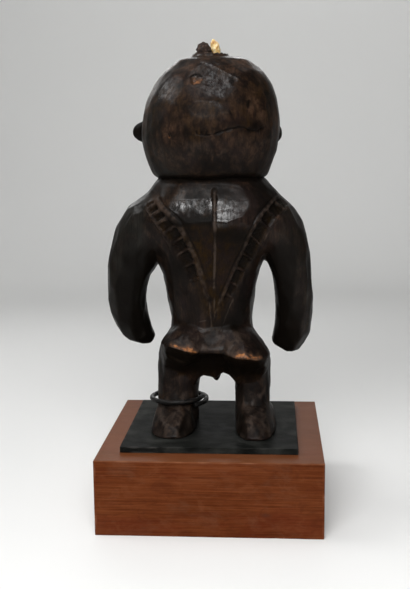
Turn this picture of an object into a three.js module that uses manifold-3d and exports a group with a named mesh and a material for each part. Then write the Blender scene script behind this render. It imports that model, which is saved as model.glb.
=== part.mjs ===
// A carved wooden monkey figure on its display mount: a hardwood plinth, a black metal plate, the figure
// itself, a wire anklet round its left leg, and the resin fill with a pale chip set in its crown.
// Millimetres, +Z up. The origin is the centre of the plinth's underside, and the figure faces -Y, so +X is
// its own left side.
import * as THREE from "three";
import { LoftGeometry } from "three/addons/geometries/LoftGeometry.js";
import { mergeVertices } from "three/addons/utils/BufferGeometryUtils.js";
import Module from "manifold-3d";

const wasm = await Module();
wasm.setup();

// Driving dimensions.
const PLINTH = { side: 190, height: 64.5, edge: 0.8 };
const PLATE = { side: 150, thickness: 5, edge: 0.5, x: 1, y: -2 };
const FIGURE_HEIGHT = 326; // soles to crown, without the fill
const HEAD_TURN = 7; // degrees, towards the figure's left
const ANKLET = { radius: 23.8, wire: 2.1, x: 32.4, y: 7, z: 26, innerEnd: 175, overlap: 46, spread: 4.4, rise: 3.4 };
const CROWN = { x: 1, y: 2, radius: 15, depth: 6, rim: 1.6 };
const SOLE_GAP = 0.2; // between the soles and the plate
const FACET_SPARE = 0.25; // how far a facet may be moved to do without small triangles
const FILL_GAP = 0.3; // between the fill and the wood, and between the chip and the fill

const plateTop = PLINTH.height + PLATE.thickness;
const rad = THREE.MathUtils.degToRad;

const woodDark = new THREE.MeshStandardMaterial({ color: 0x35261f, roughness: 0.45, metalness: 0 });
const woodRed = new THREE.MeshStandardMaterial({ color: 0x7d4229, roughness: 0.6, metalness: 0 });
const blackMetal = new THREE.MeshStandardMaterial({ color: 0x1d1e1d, roughness: 0.55, metalness: 0.3 });
const iron = new THREE.MeshStandardMaterial({ color: 0x1b1816, roughness: 0.6, metalness: 0.7 });
const resin = new THREE.MeshStandardMaterial({ color: 0x3a211a, roughness: 0.9, metalness: 0 });
const paleResin = new THREE.MeshStandardMaterial({ color: 0xe8c078, roughness: 0.5, metalness: 0 });

// A closed three.js geometry as a solid that can be joined and cut.
function solid(geometry) {
  const bare = new THREE.BufferGeometry();
  bare.setAttribute("position", geometry.attributes.position);
  bare.setIndex(geometry.index);
  const merged = mergeVertices(bare, 1e-4);
  return new wasm.Manifold(
    new wasm.Mesh({
      numProp: 3,
      vertProperties: merged.attributes.position.array,
      triVerts: new Uint32Array(merged.index.array),
    }),
  );
}

// A solid back as a named mesh.
function piece(name, form, material) {
  const { vertProperties, triVerts } = form.getMesh();
  const geometry = new THREE.BufferGeometry()
    .setAttribute("position", new THREE.BufferAttribute(vertProperties, 3))
    .setIndex(new THREE.BufferAttribute(triVerts, 1));
  geometry.computeVertexNormals();
  const mesh = new THREE.Mesh(geometry, material);
  mesh.name = name;
  return mesh;
}

const join = (...forms) => forms.reduce((whole, form) => whole.add(form));

// The largest body of a form, without the slivers that joins can leave in a corner.
function mainBody(form) {
  return form.decompose().reduce((main, body) => (body.volume() > main.volume() ? body : main));
}

// A ball stretched to the given half sizes, turned, and put in place.
function ball(halfSizes, place, turn = [0, 0, 0], around = 20, down = 14) {
  const geometry = new THREE.SphereGeometry(1, around, down)
    .scale(...halfSizes)
    .applyQuaternion(new THREE.Quaternion().setFromEuler(new THREE.Euler(...turn.map(rad))))
    .translate(...place);
  return solid(geometry);
}

// A box with its centre at the given place, turned about it.
function block(sizes, place, turn = [0, 0, 0]) {
  const geometry = new THREE.BoxGeometry(...sizes)
    .applyQuaternion(new THREE.Quaternion().setFromEuler(new THREE.Euler(...turn.map(rad))))
    .translate(...place);
  return solid(geometry);
}

// One station of a carved form: the centre of its cross-section, and its half width and half depth.
const station = (x, y, z, halfWidth, halfDepth) => ({
  centre: new THREE.Vector3(x, y, z),
  size: new THREE.Vector3(halfWidth, halfDepth, 0),
});

// An upright station, from the left and right sides, and the back and front, of the section at height z.
const girth = (z, left, right, back, front) =>
  station((left + right) / 2, (back + front) / 2, z, (left - right) / 2, (back - front) / 2);

// A form carved through its stations, each a rounded rectangle. The sections lie level, or square to the run
// of the form where level is false. Either end can be rounded off by the reach given. squareness is 1 for an
// ellipse, and less for flatter sides.
function carve(stations, { rows, around, squareness = 0.85, level = true, startReach = 0, endReach = 0 }) {
  const centres = new THREE.CatmullRomCurve3(stations.map((s) => s.centre));
  const sizes = new THREE.CatmullRomCurve3(stations.map((s) => s.size));
  const power = (v) => Math.sign(v) * Math.abs(v) ** squareness;
  const section = (t, reach = 0, share = 1) => {
    const run = level ? new THREE.Vector3(0, 0, 1) : centres.getTangent(t);
    const deep = new THREE.Vector3(0, 1, 0).addScaledVector(run, -run.y).normalize();
    const wide = new THREE.Vector3().crossVectors(deep, run);
    const centre = centres.getPoint(t).addScaledVector(run, reach);
    const size = sizes.getPoint(t).multiplyScalar(share);
    return Array.from({ length: around }, (_, k) => {
      const angle = (2 * Math.PI * k) / around;
      return centre
        .clone()
        .addScaledVector(wide, size.x * power(Math.cos(angle)))
        .addScaledVector(deep, size.y * power(Math.sin(angle)));
    });
  };
  const roundOff = [75, 50, 25].map(rad);
  const sections = [
    ...(startReach ? roundOff.map((a) => section(0, -startReach * Math.sin(a), Math.cos(a))) : []),
    ...Array.from({ length: rows + 1 }, (_, k) => section(k / rows)),
    ...(endReach ? roundOff.toReversed().map((a) => section(1, endReach * Math.sin(a), Math.cos(a))) : []),
  ];
  return solid(new LoftGeometry(sections, { capStart: true, capEnd: true }));
}

// The trunk, from the crotch to the neck inside the head.
function trunk() {
  return carve(
    [
      girth(51, 44, -44, 20, -22),
      girth(58, 50, -49.5, 24, -30),
      girth(66, 50.6, -50, 30, -33),
      girth(74, 48.6, -45, 33, -35),
      girth(82, 43.5, -38, 33, -37),
      girth(92, 37.6, -34, 30, -39),
      girth(110, 40.8, -35.6, 31, -41),
      girth(131, 43.8, -38.3, 35, -41),
      girth(150, 48, -44, 41, -39),
      girth(170, 58, -55, 48.5, -38),
      girth(187, 62, -60, 54.5, -38),
      girth(201, 61, -61, 51.5, -38),
      girth(211, 55.5, -56, 47, -36),
      girth(220, 49.6, -47.8, 42, -34),
      girth(236, 42, -40, 30, -28),
    ],
    { rows: 24, around: 28, squareness: 0.8, startReach: 5 },
  );
}

// An arm, from inside the shoulder to the blunt hand.
function arm(stations, endReach) {
  return carve(stations, { rows: 13, around: 16, squareness: 0.88, level: false, startReach: 8, endReach });
}

const leftArm = () =>
  arm(
    [
      station(36, 3, 197, 20, 38),
      station(55, 4, 184, 24, 34),
      station(69, 4, 158, 22.5, 27),
      station(76.3, 3, 133, 18.2, 22),
      station(77.4, 0, 112, 16.4, 19),
      station(74.2, -5, 95, 15.6, 17),
      station(67.4, -9, 84, 12.6, 15),
      station(60.4, -12, 78.6, 6.8, 10),
    ],
    4,
  );

const rightArm = () =>
  arm(
    [
      station(-34, 3, 197, 20, 38),
      station(-53, 4, 183, 23, 34),
      station(-65, 4, 158, 19.8, 27),
      station(-70, 2, 133, 16.8, 22),
      station(-71.2, -2, 110, 16.6, 19),
      station(-70.4, -7, 90, 16.2, 17),
      station(-64.4, -12, 74, 13.6, 14),
    ],
    5,
  );

// A buttock: its upper side slopes out to a ridge, and the wood is cut back sharply under it.
function buttock(ridge, stations, tilt) {
  const form = carve(stations, { rows: 9, around: 18, squareness: 0.72, endReach: 5 });
  return form
    .translate(-ridge.x, 0, -ridge.z)
    .rotate(0, -tilt, 0)
    .translate(ridge.x, 0, ridge.z);
}

const leftButtock = () =>
  buttock(
    { x: 27, z: 79 },
    [
      girth(53, 41.5, 11, 23, -10),
      girth(63, 43.4, 9, 31, -10),
      girth(72, 44.6, 6, 42, -10),
      girth(79, 45, 5, 47.5, -10),
      girth(85, 41, 4, 42, -10),
      girth(93, 35.5, 3, 33, -10),
    ],
    13,
  );

const rightButtock = () =>
  buttock(
    { x: -28, z: 71.5 },
    [
      girth(47, -16, -49.6, 23, -10),
      girth(56, -13, -50, 31, -10),
      girth(65, -9, -50.4, 42, -10),
      girth(71.5, -6, -50, 47.5, -10),
      girth(78, -4, -45.5, 42, -10),
      girth(88, -3, -35, 32, -10),
    ],
    7,
  );

// A bent leg, from inside the hip to the ankle inside the foot.
function leg(side, inner, outer, ankleOuter) {
  const at = (z, back, front, outside = outer) =>
    girth(z, Math.max(side * inner, side * outside), Math.min(side * inner, side * outside), back, front);
  return carve(
    [
      at(8, 28, -14, ankleOuter),
      at(19, 25.5, -12, ankleOuter),
      at(28, 24, -12.5, outer - 1),
      at(37, 22, -24),
      at(47, 20.5, -36),
      at(60, 22, -36),
      at(78, 24, -28, outer - 8),
    ],
    { rows: 10, around: 18, squareness: 0.8 },
  );
}

// A foot: level sections that close in from the sawn sole up to the ankle.
function foot(side, inner, outer, heel, toe) {
  const at = (z, back, front, narrower) => {
    const near = side * (inner + narrower * 0.3);
    const far = side * (outer - narrower);
    return girth(z, Math.max(near, far), Math.min(near, far), back, front);
  };
  return carve(
    [
      at(-4, heel, toe, 0),
      at(4, heel - 2, toe, 0),
      at(11, heel - 9, toe + 4, 2),
      at(17, heel - 17, toe + 19, 4.5),
      at(22.5, heel - 27, toe + 36, 5.5),
    ],
    { rows: 8, around: 20, squareness: 0.7 },
  );
}

// The head, with its brow, eye hollows, muzzle, mouth and ears, turned a little to the figure's left.
function head() {
  const ballOfHead = carve(
    [
      girth(219.5, 48, -45.5, 40, -28),
      girth(230, 54.2, -49.6, 48, -37),
      girth(246, 59.8, -55, 57, -47),
      girth(262, 61.4, -57.6, 61, -50),
      girth(276, 60.2, -57.8, 60.5, -54),
      girth(290, 56, -55.4, 56, -52),
      girth(302, 49.6, -51.4, 48, -45),
      girth(312, 42, -44.6, 38.5, -37),
      girth(319.5, 32.5, -35.5, 28, -28),
    ],
    { rows: 16, around: 32, squareness: 0.96, endReach: 6.5 },
  );
  const brow = ball([42, 18, 7.5], [0, -40, 281], [-8, 0, 0], 18, 8);
  const muzzle = ball([31, 30, 18], [0, -46, 243], [6, 0, 0], 20, 10);
  const nose = ball([8, 11, 20], [0, -50, 263], [-22, 0, 0], 12, 8);
  const leftEar = ball([12, 6.5, 9.2], [58.6, -8, 262.6], [0, 0, -20], 12, 8);
  const rightEar = ball([8, 6.5, 9], [-55.4, -12, 260.5], [0, 0, 20], 12, 8);
  const eyeHollows = [1, -1].map((side) => ball([13, 11, 10.5], [side * 21, -57, 267], [0, 0, 0], 14, 8));
  const eyes = [1, -1].map((side) => ball([8.5, 8, 6.5], [side * 20, -45.5, 267], [0, 0, 0], 12, 8));
  const mouth = ball([26, 34, 2.6], [0, -64, 238], [6, 0, 0], 18, 6);
  const face = join(ballOfHead, brow, muzzle, nose, leftEar, rightEar);
  const hollow = eyeHollows.reduce((whole, form) => whole.subtract(form), face);
  return join(hollow, ...eyes)
    .subtract(mouth)
    .rotate(0, 0, HEAD_TURN);
}

// The rim round the hollow of the crown.
function crownRim() {
  const ring = new THREE.TorusGeometry(CROWN.radius, CROWN.rim, 6, 24).scale(1, 1, 1.3);
  return solid(ring.translate(CROWN.x, CROWN.y, FIGURE_HEIGHT - 0.6));
}

const crownHollow = (spare = 0) =>
  ball(
    [CROWN.radius - spare, CROWN.radius - spare, CROWN.depth - spare],
    [CROWN.x, CROWN.y, FIGURE_HEIGHT + 0.5],
    [0, 0, 0],
    18,
    10,
  );

// The whole figure, one block of wood, standing on z = 0.
function carvedFigure() {
  const fork = ball([11, 60, 7.4], [-9, 0, 41.5], [0, 0, 0], 12, 8);
  const stub = ball([4.5, 6, 8], [-2, 0, 49], [0, 0, 0], 10, 8);
  const whole = join(
    trunk().subtract(fork),
    leftArm(),
    rightArm(),
    leg(1, 13.8, 51.4, 49),
    leg(-1, 18.8, 50.6, 50),
    foot(1, 15, 56, 53, -46),
    foot(-1, 19.5, 55.6, 56, -46),
    leftButtock(),
    rightButtock(),
    stub,
    head(),
    crownRim(),
  );
  const below = block([300, 300, 60], [0, 0, SOLE_GAP - 30]);
  return mainBody(whole.subtract(below).subtract(crownHollow())).simplify(FACET_SPARE);
}

// The crumbly fill in the crown, heaped on the figure's left.
function crownFill() {
  const bed = crownHollow(FILL_GAP).subtract(block([60, 60, 20], [0, 0, FIGURE_HEIGHT + 11]));
  const heap = ball([7.4, 8, 12], [CROWN.x + 6.5, CROWN.y, FIGURE_HEIGHT], [0, 6, 20], 12, 8);
  const inRim = crownHollow(FILL_GAP).add(block([60, 60, 30], [0, 0, FIGURE_HEIGHT + 15.5]));
  return join(bed, heap).intersect(inRim);
}

// The pale chip that stands in the fill, leaning on it.
function crownChip(spare = 0) {
  const sizes = [4 + spare, 5 + spare, 9.5 + spare];
  return ball(sizes, [CROWN.x - 5, CROWN.y + 1, FIGURE_HEIGHT + 5], [0, 14, 8], 10, 8);
}

// The anklet: a wire bent round the left leg in an open spiral, so that its two ends lap side by side.
function anklet() {
  const turn = 360 + ANKLET.overlap;
  const points = Array.from({ length: 17 }, (_, k) => {
    const share = k / 16;
    const angle = rad(ANKLET.innerEnd - turn * share);
    const spread = ANKLET.radius + ANKLET.spread * (share - 0.5);
    return new THREE.Vector3(
      ANKLET.x + spread * Math.cos(angle),
      ANKLET.y + spread * Math.sin(angle),
      ANKLET.z - ANKLET.rise * (share - 0.5),
    );
  });
  const route = new THREE.CatmullRomCurve3(points);
  const outline = new THREE.Shape().absarc(0, 0, ANKLET.wire, 0, rad(360), false);
  return solid(new THREE.ExtrudeGeometry(outline, { steps: 36, extrudePath: route, curveSegments: 6 }));
}

// A square slab with a fine bevel on its edges, standing on z = 0.
function slab(side, height, edge) {
  const half = side / 2 - edge;
  const outline = new THREE.Shape([
    new THREE.Vector2(-half, -half),
    new THREE.Vector2(half, -half),
    new THREE.Vector2(half, half),
    new THREE.Vector2(-half, half),
  ]);
  const bevel = { bevelThickness: edge, bevelSize: edge, bevelSegments: 1 };
  const geometry = new THREE.ExtrudeGeometry(outline, { depth: height - 2 * edge, ...bevel });
  return solid(geometry.translate(0, 0, edge));
}

const plinth = piece("plinth", slab(PLINTH.side, PLINTH.height, PLINTH.edge), woodRed);

const plate = piece("mount_plate", slab(PLATE.side, PLATE.thickness, PLATE.edge), blackMetal);
plate.position.set(PLATE.x, PLATE.y, PLINTH.height);

const onPlate = new THREE.Group();
onPlate.position.set(0, 0, plateTop);
onPlate.add(
  piece("figure", carvedFigure(), woodDark),
  piece("anklet", anklet(), iron),
  piece("crown_fill", mainBody(crownFill().subtract(crownChip(FILL_GAP))), resin),
  piece("crown_chip", crownChip(), paleResin),
);

const monkeyFigure = new THREE.Group();
monkeyFigure.add(plinth, plate, onPlate);

export default monkeyFigure;
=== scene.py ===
"""A carved hardwood monkey figure on its black plate and hardwood plinth, seen from behind.

Everything is in metres in the part's own frame: the figure faces -Y, its left is +X, +Z is up, and the
plinth's underside stands on z = 0. Sizes on the figure itself are written in millimetres, measured up from
the top of the plate under its feet, as a carver would measure them.
"""

import sys

import logging
import math
from dataclasses import dataclass, field
from enum import Enum

import bmesh
import bpy
import numpy as np
from mathutils import Matrix, Vector


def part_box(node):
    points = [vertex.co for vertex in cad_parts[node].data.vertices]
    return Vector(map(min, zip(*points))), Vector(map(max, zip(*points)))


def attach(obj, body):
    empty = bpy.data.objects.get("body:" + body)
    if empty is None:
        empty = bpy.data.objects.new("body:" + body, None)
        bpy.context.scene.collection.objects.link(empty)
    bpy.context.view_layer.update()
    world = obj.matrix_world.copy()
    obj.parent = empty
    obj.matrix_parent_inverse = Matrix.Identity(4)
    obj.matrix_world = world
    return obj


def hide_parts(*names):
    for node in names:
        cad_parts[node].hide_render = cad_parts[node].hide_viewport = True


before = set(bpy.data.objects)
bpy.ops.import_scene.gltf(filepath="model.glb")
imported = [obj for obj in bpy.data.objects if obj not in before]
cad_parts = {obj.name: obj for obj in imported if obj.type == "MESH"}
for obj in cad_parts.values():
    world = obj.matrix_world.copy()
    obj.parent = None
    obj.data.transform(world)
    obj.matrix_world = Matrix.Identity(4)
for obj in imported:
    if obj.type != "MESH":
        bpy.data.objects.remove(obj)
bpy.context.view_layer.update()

log = logging.getLogger("monkey_figure")

MM = 0.001
CREASE = 223  # mm above the plate: the fold where the head sits on the collar
WAVES = 26  # waves that cross in every ripple

Point = tuple[float, float, float]
Colour = tuple[float, float, float]
Line = tuple[Point, ...]
Socket = bpy.types.NodeSocket


class Mark(Enum):
    """What time and use have left on the wood, and the shade and sheen painted on it, kept per point for the finish to
    read.
    """

    # WORN: wood, paint and iron rubbed through; on the crown also a lighter painted top light.
    WORN = "worn"
    DUST = "dust"
    GLOSS = "gloss"
    # DARK: painted shade in creases, hollows, under overhangs and between parts, and the darker wood of cracks, nicks
    # and cut lines.
    DARK = "dark"
    # WARM: an olive tint of the wood between the ladders and on the head, and of the painted shade under the seat and
    # in the ladder cells.
    WARM = "warm"
    # COOL: a painted sheen, a cool grey reflection painted on the arms and the head's upper left.
    COOL = "cool"


Marks = dict[Mark, float]


class Side(Enum):
    """The figure's own left and right, as the sign of X."""

    LEFT = 1
    RIGHT = -1


# -------- measuring


def smoothstep(value: np.ndarray, low: float, high: float) -> np.ndarray:
    """Eases from 0 at low to 1 at high."""
    share = np.clip((value - low) / (high - low), 0, 1)
    return share * share * (3 - 2 * share)


def falling(value: np.ndarray, low: float, high: float) -> np.ndarray:
    """Eases from 1 at low to 0 at high."""
    return 1 - smoothstep(value, low, high)


def window(value: np.ndarray, start: float, full: float, going: float, end: float) -> np.ndarray:
    """Eases up from 0 to 1 between start and full, and down again between going and end."""
    return smoothstep(value, start, full) * falling(value, going, end)


def bell(value: np.ndarray, middle: float, half: float, square: float = 2) -> np.ndarray:
    """Is 1 at the middle and dies away beyond the half width, with a flatter top for a higher square."""
    return np.exp(-(((value - middle) / half) ** square))


def over(value: np.ndarray, soft: float) -> np.ndarray:
    """How far a number is above zero, with the corner at zero rounded over the soft width."""
    return soft * np.logaddexp(0, value / soft)


def unit(vectors: np.ndarray) -> np.ndarray:
    """Scales vectors, which lie in the last axis, to length one."""
    return vectors / np.maximum(np.linalg.norm(vectors, axis=-1, keepdims=True), 1e-9)


def round_off(path: np.ndarray, rounds: int) -> None:
    """Rounds a path's corners by drawing each point between its neighbours, and keeps its ends."""
    for _ in range(rounds):
        path[1:-1] += 0.5 * ((path[:-2] + path[2:]) / 2 - path[1:-1])


def ripple(place: np.ndarray, size: float, seed: int) -> np.ndarray:
    """Smooth seeded unevenness, about one high, made of crossing waves.

    Args:
        place: Points in millimetres.
        size: Middle wavelength in millimetres.
        seed: Chooses the waves.

    Returns:
        One number a point, mostly between -1 and 1.
    """
    rng = np.random.default_rng(seed)
    heading = unit(rng.normal(size=(WAVES, 3)))
    rate = 2 * math.pi / (size * rng.uniform(0.65, 1.6, WAVES))
    phase = rng.uniform(0, 2 * math.pi, WAVES)
    return np.cos(place @ (heading * rate[:, None]).T + phase).sum(axis=1) / math.sqrt(WAVES)


def walk(line: Line, step: float) -> tuple[np.ndarray, np.ndarray]:
    """Points at even steps along a line, with its corners rounded.

    Args:
        line: The corners, in millimetres.
        step: Distance between the points returned.

    Returns:
        The points, and how far along the line each one is.
    """
    corners = np.array(line, dtype=float)
    length = np.concatenate([[0], np.cumsum(np.linalg.norm(np.diff(corners, axis=0), axis=1))])
    along = np.linspace(0, length[-1], max(3, int(length[-1] / step) + 1))
    path = np.stack([np.interp(along, length, corners[:, axis]) for axis in range(3)], axis=1)
    round_off(path, int(4 / step))
    return path, along


# -------- the surface under the chisel


class CarvedSurface:
    """A dense mesh being carved: its points in millimetres above the plate, and the marks left on them."""

    def __init__(self, mesh: bpy.types.Mesh, lift: float) -> None:
        """Takes a mesh to carve.

        Args:
            mesh: The mesh, in metres.
            lift: Height of the plate's top in millimetres.
        """
        self.mesh = mesh
        self.lift = lift
        self.read()

    def read(self) -> None:
        """Reads the points and edges from the mesh, with no marks yet."""
        count = len(self.mesh.vertices)
        flat = np.empty(count * 3, dtype=np.float32)
        self.mesh.vertices.foreach_get("co", flat)
        self.place = flat.reshape(-1, 3).astype(float) / MM
        self.place[:, 2] -= self.lift
        pairs = np.empty(len(self.mesh.edges) * 2, dtype=np.int32)
        self.mesh.edges.foreach_get("vertices", pairs)
        self.edges = pairs.reshape(-1, 2)
        self.degree = np.bincount(pairs, minlength=count).astype(float)
        self.marks = {mark: np.zeros(count) for mark in Mark}

    def write(self) -> None:
        """Writes the points back to the mesh."""
        shifted = self.place + np.array([0, 0, self.lift])
        self.mesh.vertices.foreach_set("co", (shifted * MM).astype(np.float32).ravel())
        self.mesh.update()

    def normals(self) -> np.ndarray:
        """Writes the points and reads the mesh's normals back.

        Returns:
            The outward direction at each point, as the points now stand.
        """
        self.write()
        flat = np.empty(len(self.place) * 3, dtype=np.float32)
        self.mesh.vertices.foreach_get("normal", flat)
        return flat.reshape(-1, 3).astype(float)

    def averages(self, values: np.ndarray) -> np.ndarray:
        """The mean of each point's neighbours.

        Args:
            values: One row of numbers for each point.

        Returns:
            The neighbours' mean, in the same shape.
        """
        first, second = self.edges.T
        count = len(self.place)
        columns = values.reshape(count, -1)
        total = [
            np.bincount(first, columns[second, k], count) + np.bincount(second, columns[first, k], count)
            for k in range(columns.shape[1])
        ]
        return (np.stack(total, axis=1) / self.degree[:, None]).reshape(values.shape)

    def even_out(self, rounds: int, free: np.ndarray | None = None, keep_size: bool = True) -> None:
        """Rubs the surface smooth.

        Args:
            rounds: How many passes.
            free: How freely each point moves, from 0 to 1.
            keep_size: Whether each pass is followed by one that swells the surface back.
        """
        loose = np.ones(len(self.place)) if free is None else free
        for _ in range(rounds):
            self.place += (0.5 * loose)[:, None] * (self.averages(self.place) - self.place)
            if keep_size:
                self.place -= (0.52 * loose)[:, None] * (self.averages(self.place) - self.place)

    def refine(self, chosen: np.ndarray) -> None:
        """Splits the faces round the chosen points in four.

        Args:
            chosen: True for each point whose faces are split.
        """
        self.write()
        bm = bmesh.new()
        bm.from_mesh(self.mesh)
        edges = [e for e in bm.edges if chosen[e.verts[0].index] and chosen[e.verts[1].index]]
        bmesh.ops.subdivide_edges(bm, edges=edges, cuts=1, use_grid_fill=True)
        bm.to_mesh(self.mesh)
        bm.free()
        self.read()

    def sink(self, depth: np.ndarray) -> None:
        """Cuts into the surface by the given millimetres at each point, negative to stand proud."""
        self.place -= self.normals() * depth[:, None]

    def stain(self, mark: Mark, amount: np.ndarray) -> None:
        """Leaves a mark, from 0 to 1, at each point where it is stronger than what is there."""
        self.marks[mark] = np.maximum(self.marks[mark], np.clip(amount, 0, 1))

    def around(self, path: np.ndarray, reach: float) -> np.ndarray:
        """Indices of the points in the box round a path, widened by the reach."""
        inside = np.all((self.place > path.min(axis=0) - reach) & (self.place < path.max(axis=0) + reach), axis=1)
        return np.flatnonzero(inside)

    def away(self, point: Point, shape: Point = (1, 1, 1)) -> np.ndarray:
        """Each point's distance from a place, with each axis counted as the shape says."""
        return np.linalg.norm((self.place - np.array(point)) * np.array(shape), axis=1)

    def ripple(self, size: float, seed: int, chosen: np.ndarray | slice = slice(None)) -> np.ndarray:
        """Smooth seeded unevenness of about the given wavelength, at the chosen points or at all."""
        return ripple(self.place[chosen], size, seed)

    def spread(self, nearby: np.ndarray, values: np.ndarray) -> np.ndarray:
        """Gives the whole surface numbers that were worked out for some of its points.

        Args:
            nearby: Indices of those points.
            values: Their numbers.

        Returns:
            One number for each point, zero where none was worked out.
        """
        full = np.zeros(len(self.place))
        full[nearby] = values
        return full

    def settle(self, path: np.ndarray, normal: np.ndarray) -> np.ndarray:
        """Drops a path onto the surface.

        Args:
            path: The path's points in millimetres.
            normal: The outward direction at each point of the surface.

        Returns:
            The path's points, on the surface.
        """
        nearby = self.around(path, 6)
        gap = np.linalg.norm(path[:, None] - self.place[nearby][None], axis=2)
        nearest = nearby[gap.argmin(axis=1)]
        above = ((path - self.place[nearest]) * normal[nearest]).sum(axis=1, keepdims=True)
        return path - above * normal[nearest]

    def beside(self, line: Line, reach: float) -> tuple[np.ndarray, np.ndarray, np.ndarray, float]:
        """Measures the points near a line from it.

        Args:
            line: The line's corners in millimetres.
            reach: How far from the line to look.

        Returns:
            Indices of the points, their distance from the line, how far along it they are, and its length.
        """
        normal = self.normals()
        path, along = walk(line, 0.45)
        path = self.settle(path, normal)
        nearby = self.around(path, reach)
        gap = np.linalg.norm(self.place[nearby][:, None] - path[None], axis=2)
        nearest = gap.argmin(axis=1)
        return nearby, gap.min(axis=1), along[nearest], float(along[-1])

    def save_marks(self) -> None:
        """Writes the marks to the mesh as attributes."""
        self.write()
        for mark, amount in self.marks.items():
            layer = self.mesh.attributes.new(mark.value, "FLOAT", "POINT")
            layer.data.foreach_set("value", np.clip(amount, 0, 1).astype(np.float32))


# -------- the carver's strokes


@dataclass(frozen=True)
class Adze:
    """A blade that leaves overlapping flats all over.

    Attributes:
        spacing: Millimetres between neighbouring flats.
        stretch: How each axis counts when flats are spaced: a smaller number makes them longer that way.
        strength: How far the surface goes to each flat, from 0 to 1.
        limit: The most that a point moves, in millimetres.
        tilt: How unevenly the blade was held, in degrees.
        edge: Half width of the rounding between two flats, in millimetres.
        seed: Chooses where the flats fall.
    """

    spacing: float
    stretch: Point = (1, 1, 1)
    strength: float = 0.7
    limit: float = 0.9
    tilt: float = 3
    edge: float = 0.7
    seed: int = 1

    def spread(self, span: np.ndarray, rng: np.random.Generator) -> np.ndarray:
        """Picks flats' centres that keep their distance.

        Args:
            span: Each point's place for measuring distances.
            rng: The random choices.

        Returns:
            Indices of the centres.
        """
        waiting = rng.permutation(len(span))
        centres = []
        while len(waiting):
            first = waiting[0]
            centres.append(first)
            away = ((span[waiting] - span[first]) ** 2).sum(axis=1)
            waiting = waiting[away > (self.spacing * 0.82) ** 2]
        return np.array(centres)

    def work(self, surface: CarvedSurface, where: np.ndarray) -> None:
        """Cuts the flats.

        Args:
            surface: What is carved.
            where: How strongly each point is worked, from 0 to 1.
        """
        rng = np.random.default_rng(self.seed)
        normal = surface.normals()
        chosen = np.flatnonzero(where > 0.02)
        place, facing = surface.place[chosen], normal[chosen]
        span = np.concatenate([place * np.array(self.stretch), facing * self.spacing * 0.9], axis=1)
        centres = span[self.spread(span, rng)]
        count = len(centres)
        move = np.zeros_like(place)
        squares = (centres**2).sum(axis=1)
        pieces = np.array_split(np.arange(len(span)), max(1, len(span) * count // 4_000_000 + 1))
        owner = np.concatenate([(squares - 2 * span[part] @ centres.T).argmin(axis=1) for part in pieces])
        share = np.maximum(np.bincount(owner, minlength=count), 1)[:, None]
        middle = np.stack([np.bincount(owner, place[:, k], count) for k in range(3)], axis=1) / share
        lean = np.stack([np.bincount(owner, facing[:, k], count) for k in range(3)], axis=1)
        lean = unit(unit(lean) + rng.normal(size=(count, 3)) * math.radians(self.tilt))
        for part in pieces:
            away = squares - 2 * span[part] @ centres.T
            away -= away.min(axis=1, keepdims=True)
            weight = np.exp(-away / (2 * self.edge * self.spacing))
            weight /= weight.sum(axis=1, keepdims=True)
            reach = (middle * lean).sum(axis=1) - place[part] @ lean.T
            rise = np.clip((weight * reach).sum(axis=1), -self.limit, self.limit)
            move[part] = unit(weight @ lean) * rise[:, None]
        surface.place[chosen] += move * (self.strength * where[chosen])[:, None]


@dataclass(frozen=True)
class FlatCut:
    """One broad flat, planed off where the surface stands above it.

    Attributes:
        through: A point on the flat, in millimetres.
        facing: The direction the flat faces.
        reach: Radius in millimetres within which it is cut.
        edge: Rounding of its rim, in millimetres.
    """

    through: Point
    facing: Point
    reach: float
    edge: float

    def work(self, surface: CarvedSurface) -> None:
        """Planes the flat.

        Args:
            surface: What is carved.
        """
        facing = unit(np.array(self.facing))
        offset = surface.place - np.array(self.through)
        away = np.linalg.norm(offset, axis=1)
        fade = falling(away, 0.8 * self.reach, self.reach)
        surface.place -= facing * (over(offset @ facing, self.edge) * fade)[:, None]


@dataclass(frozen=True)
class Facet:
    """One flat pared off the side of a rounded form, as deep as asked below its highest point that way.

    Attributes:
        centre: Middle of the form, in millimetres.
        reach: How each axis is measured from the middle: the cut stays where all three are within it.
        facing: The direction the flat faces.
        depth: Millimetres taken off the highest point.
        edge: Rounding of its rim, in millimetres.
    """

    centre: Point
    reach: Point
    facing: Point
    depth: float
    edge: float = 0.2

    def work(self, surface: CarvedSurface) -> None:
        """Pares the flat.

        Args:
            surface: What is carved.
        """
        facing = unit(np.array(self.facing))
        offset = surface.place - np.array(self.centre)
        away = np.max(np.abs(offset) / np.array(self.reach), axis=1)
        level = offset @ facing
        limit = np.percentile(level[away < 1], 99.5) - self.depth
        surface.place -= facing * (over(level - limit, self.edge) * falling(away, 0.5, 1))[:, None]


@dataclass(frozen=True)
class Profile:
    """Two long flats pared to a profile, meeting on a line down the back.

    Attributes:
        knots: Heights and depths of the profile on that line, in millimetres.
        middle: X of the line.
        slope: How fast the flats fall away from it, in millimetres a millimetre.
        reach: How far from the line they go.
        edge: Rounding of their rims, in millimetres.
    """

    knots: tuple[tuple[float, float], ...]
    middle: float
    slope: float
    reach: float
    edge: float = 0.25

    def work(self, surface: CarvedSurface) -> None:
        """Pares the flats.

        Args:
            surface: What is carved.
        """
        x, y, z = surface.place.T
        heights, depths = np.array(self.knots).T
        aside = np.sqrt((x - self.middle) ** 2 + 1)
        limit = np.interp(z, heights, depths) - self.slope * aside + 0.12 * surface.ripple(15, 17)
        inside = (z > heights[0]) & (z < heights[-1]) & (y > 20)
        fade = falling(aside, 0.85 * self.reach, self.reach)
        surface.place[:, 1] -= over(y - limit, self.edge) * fade * inside


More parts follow.
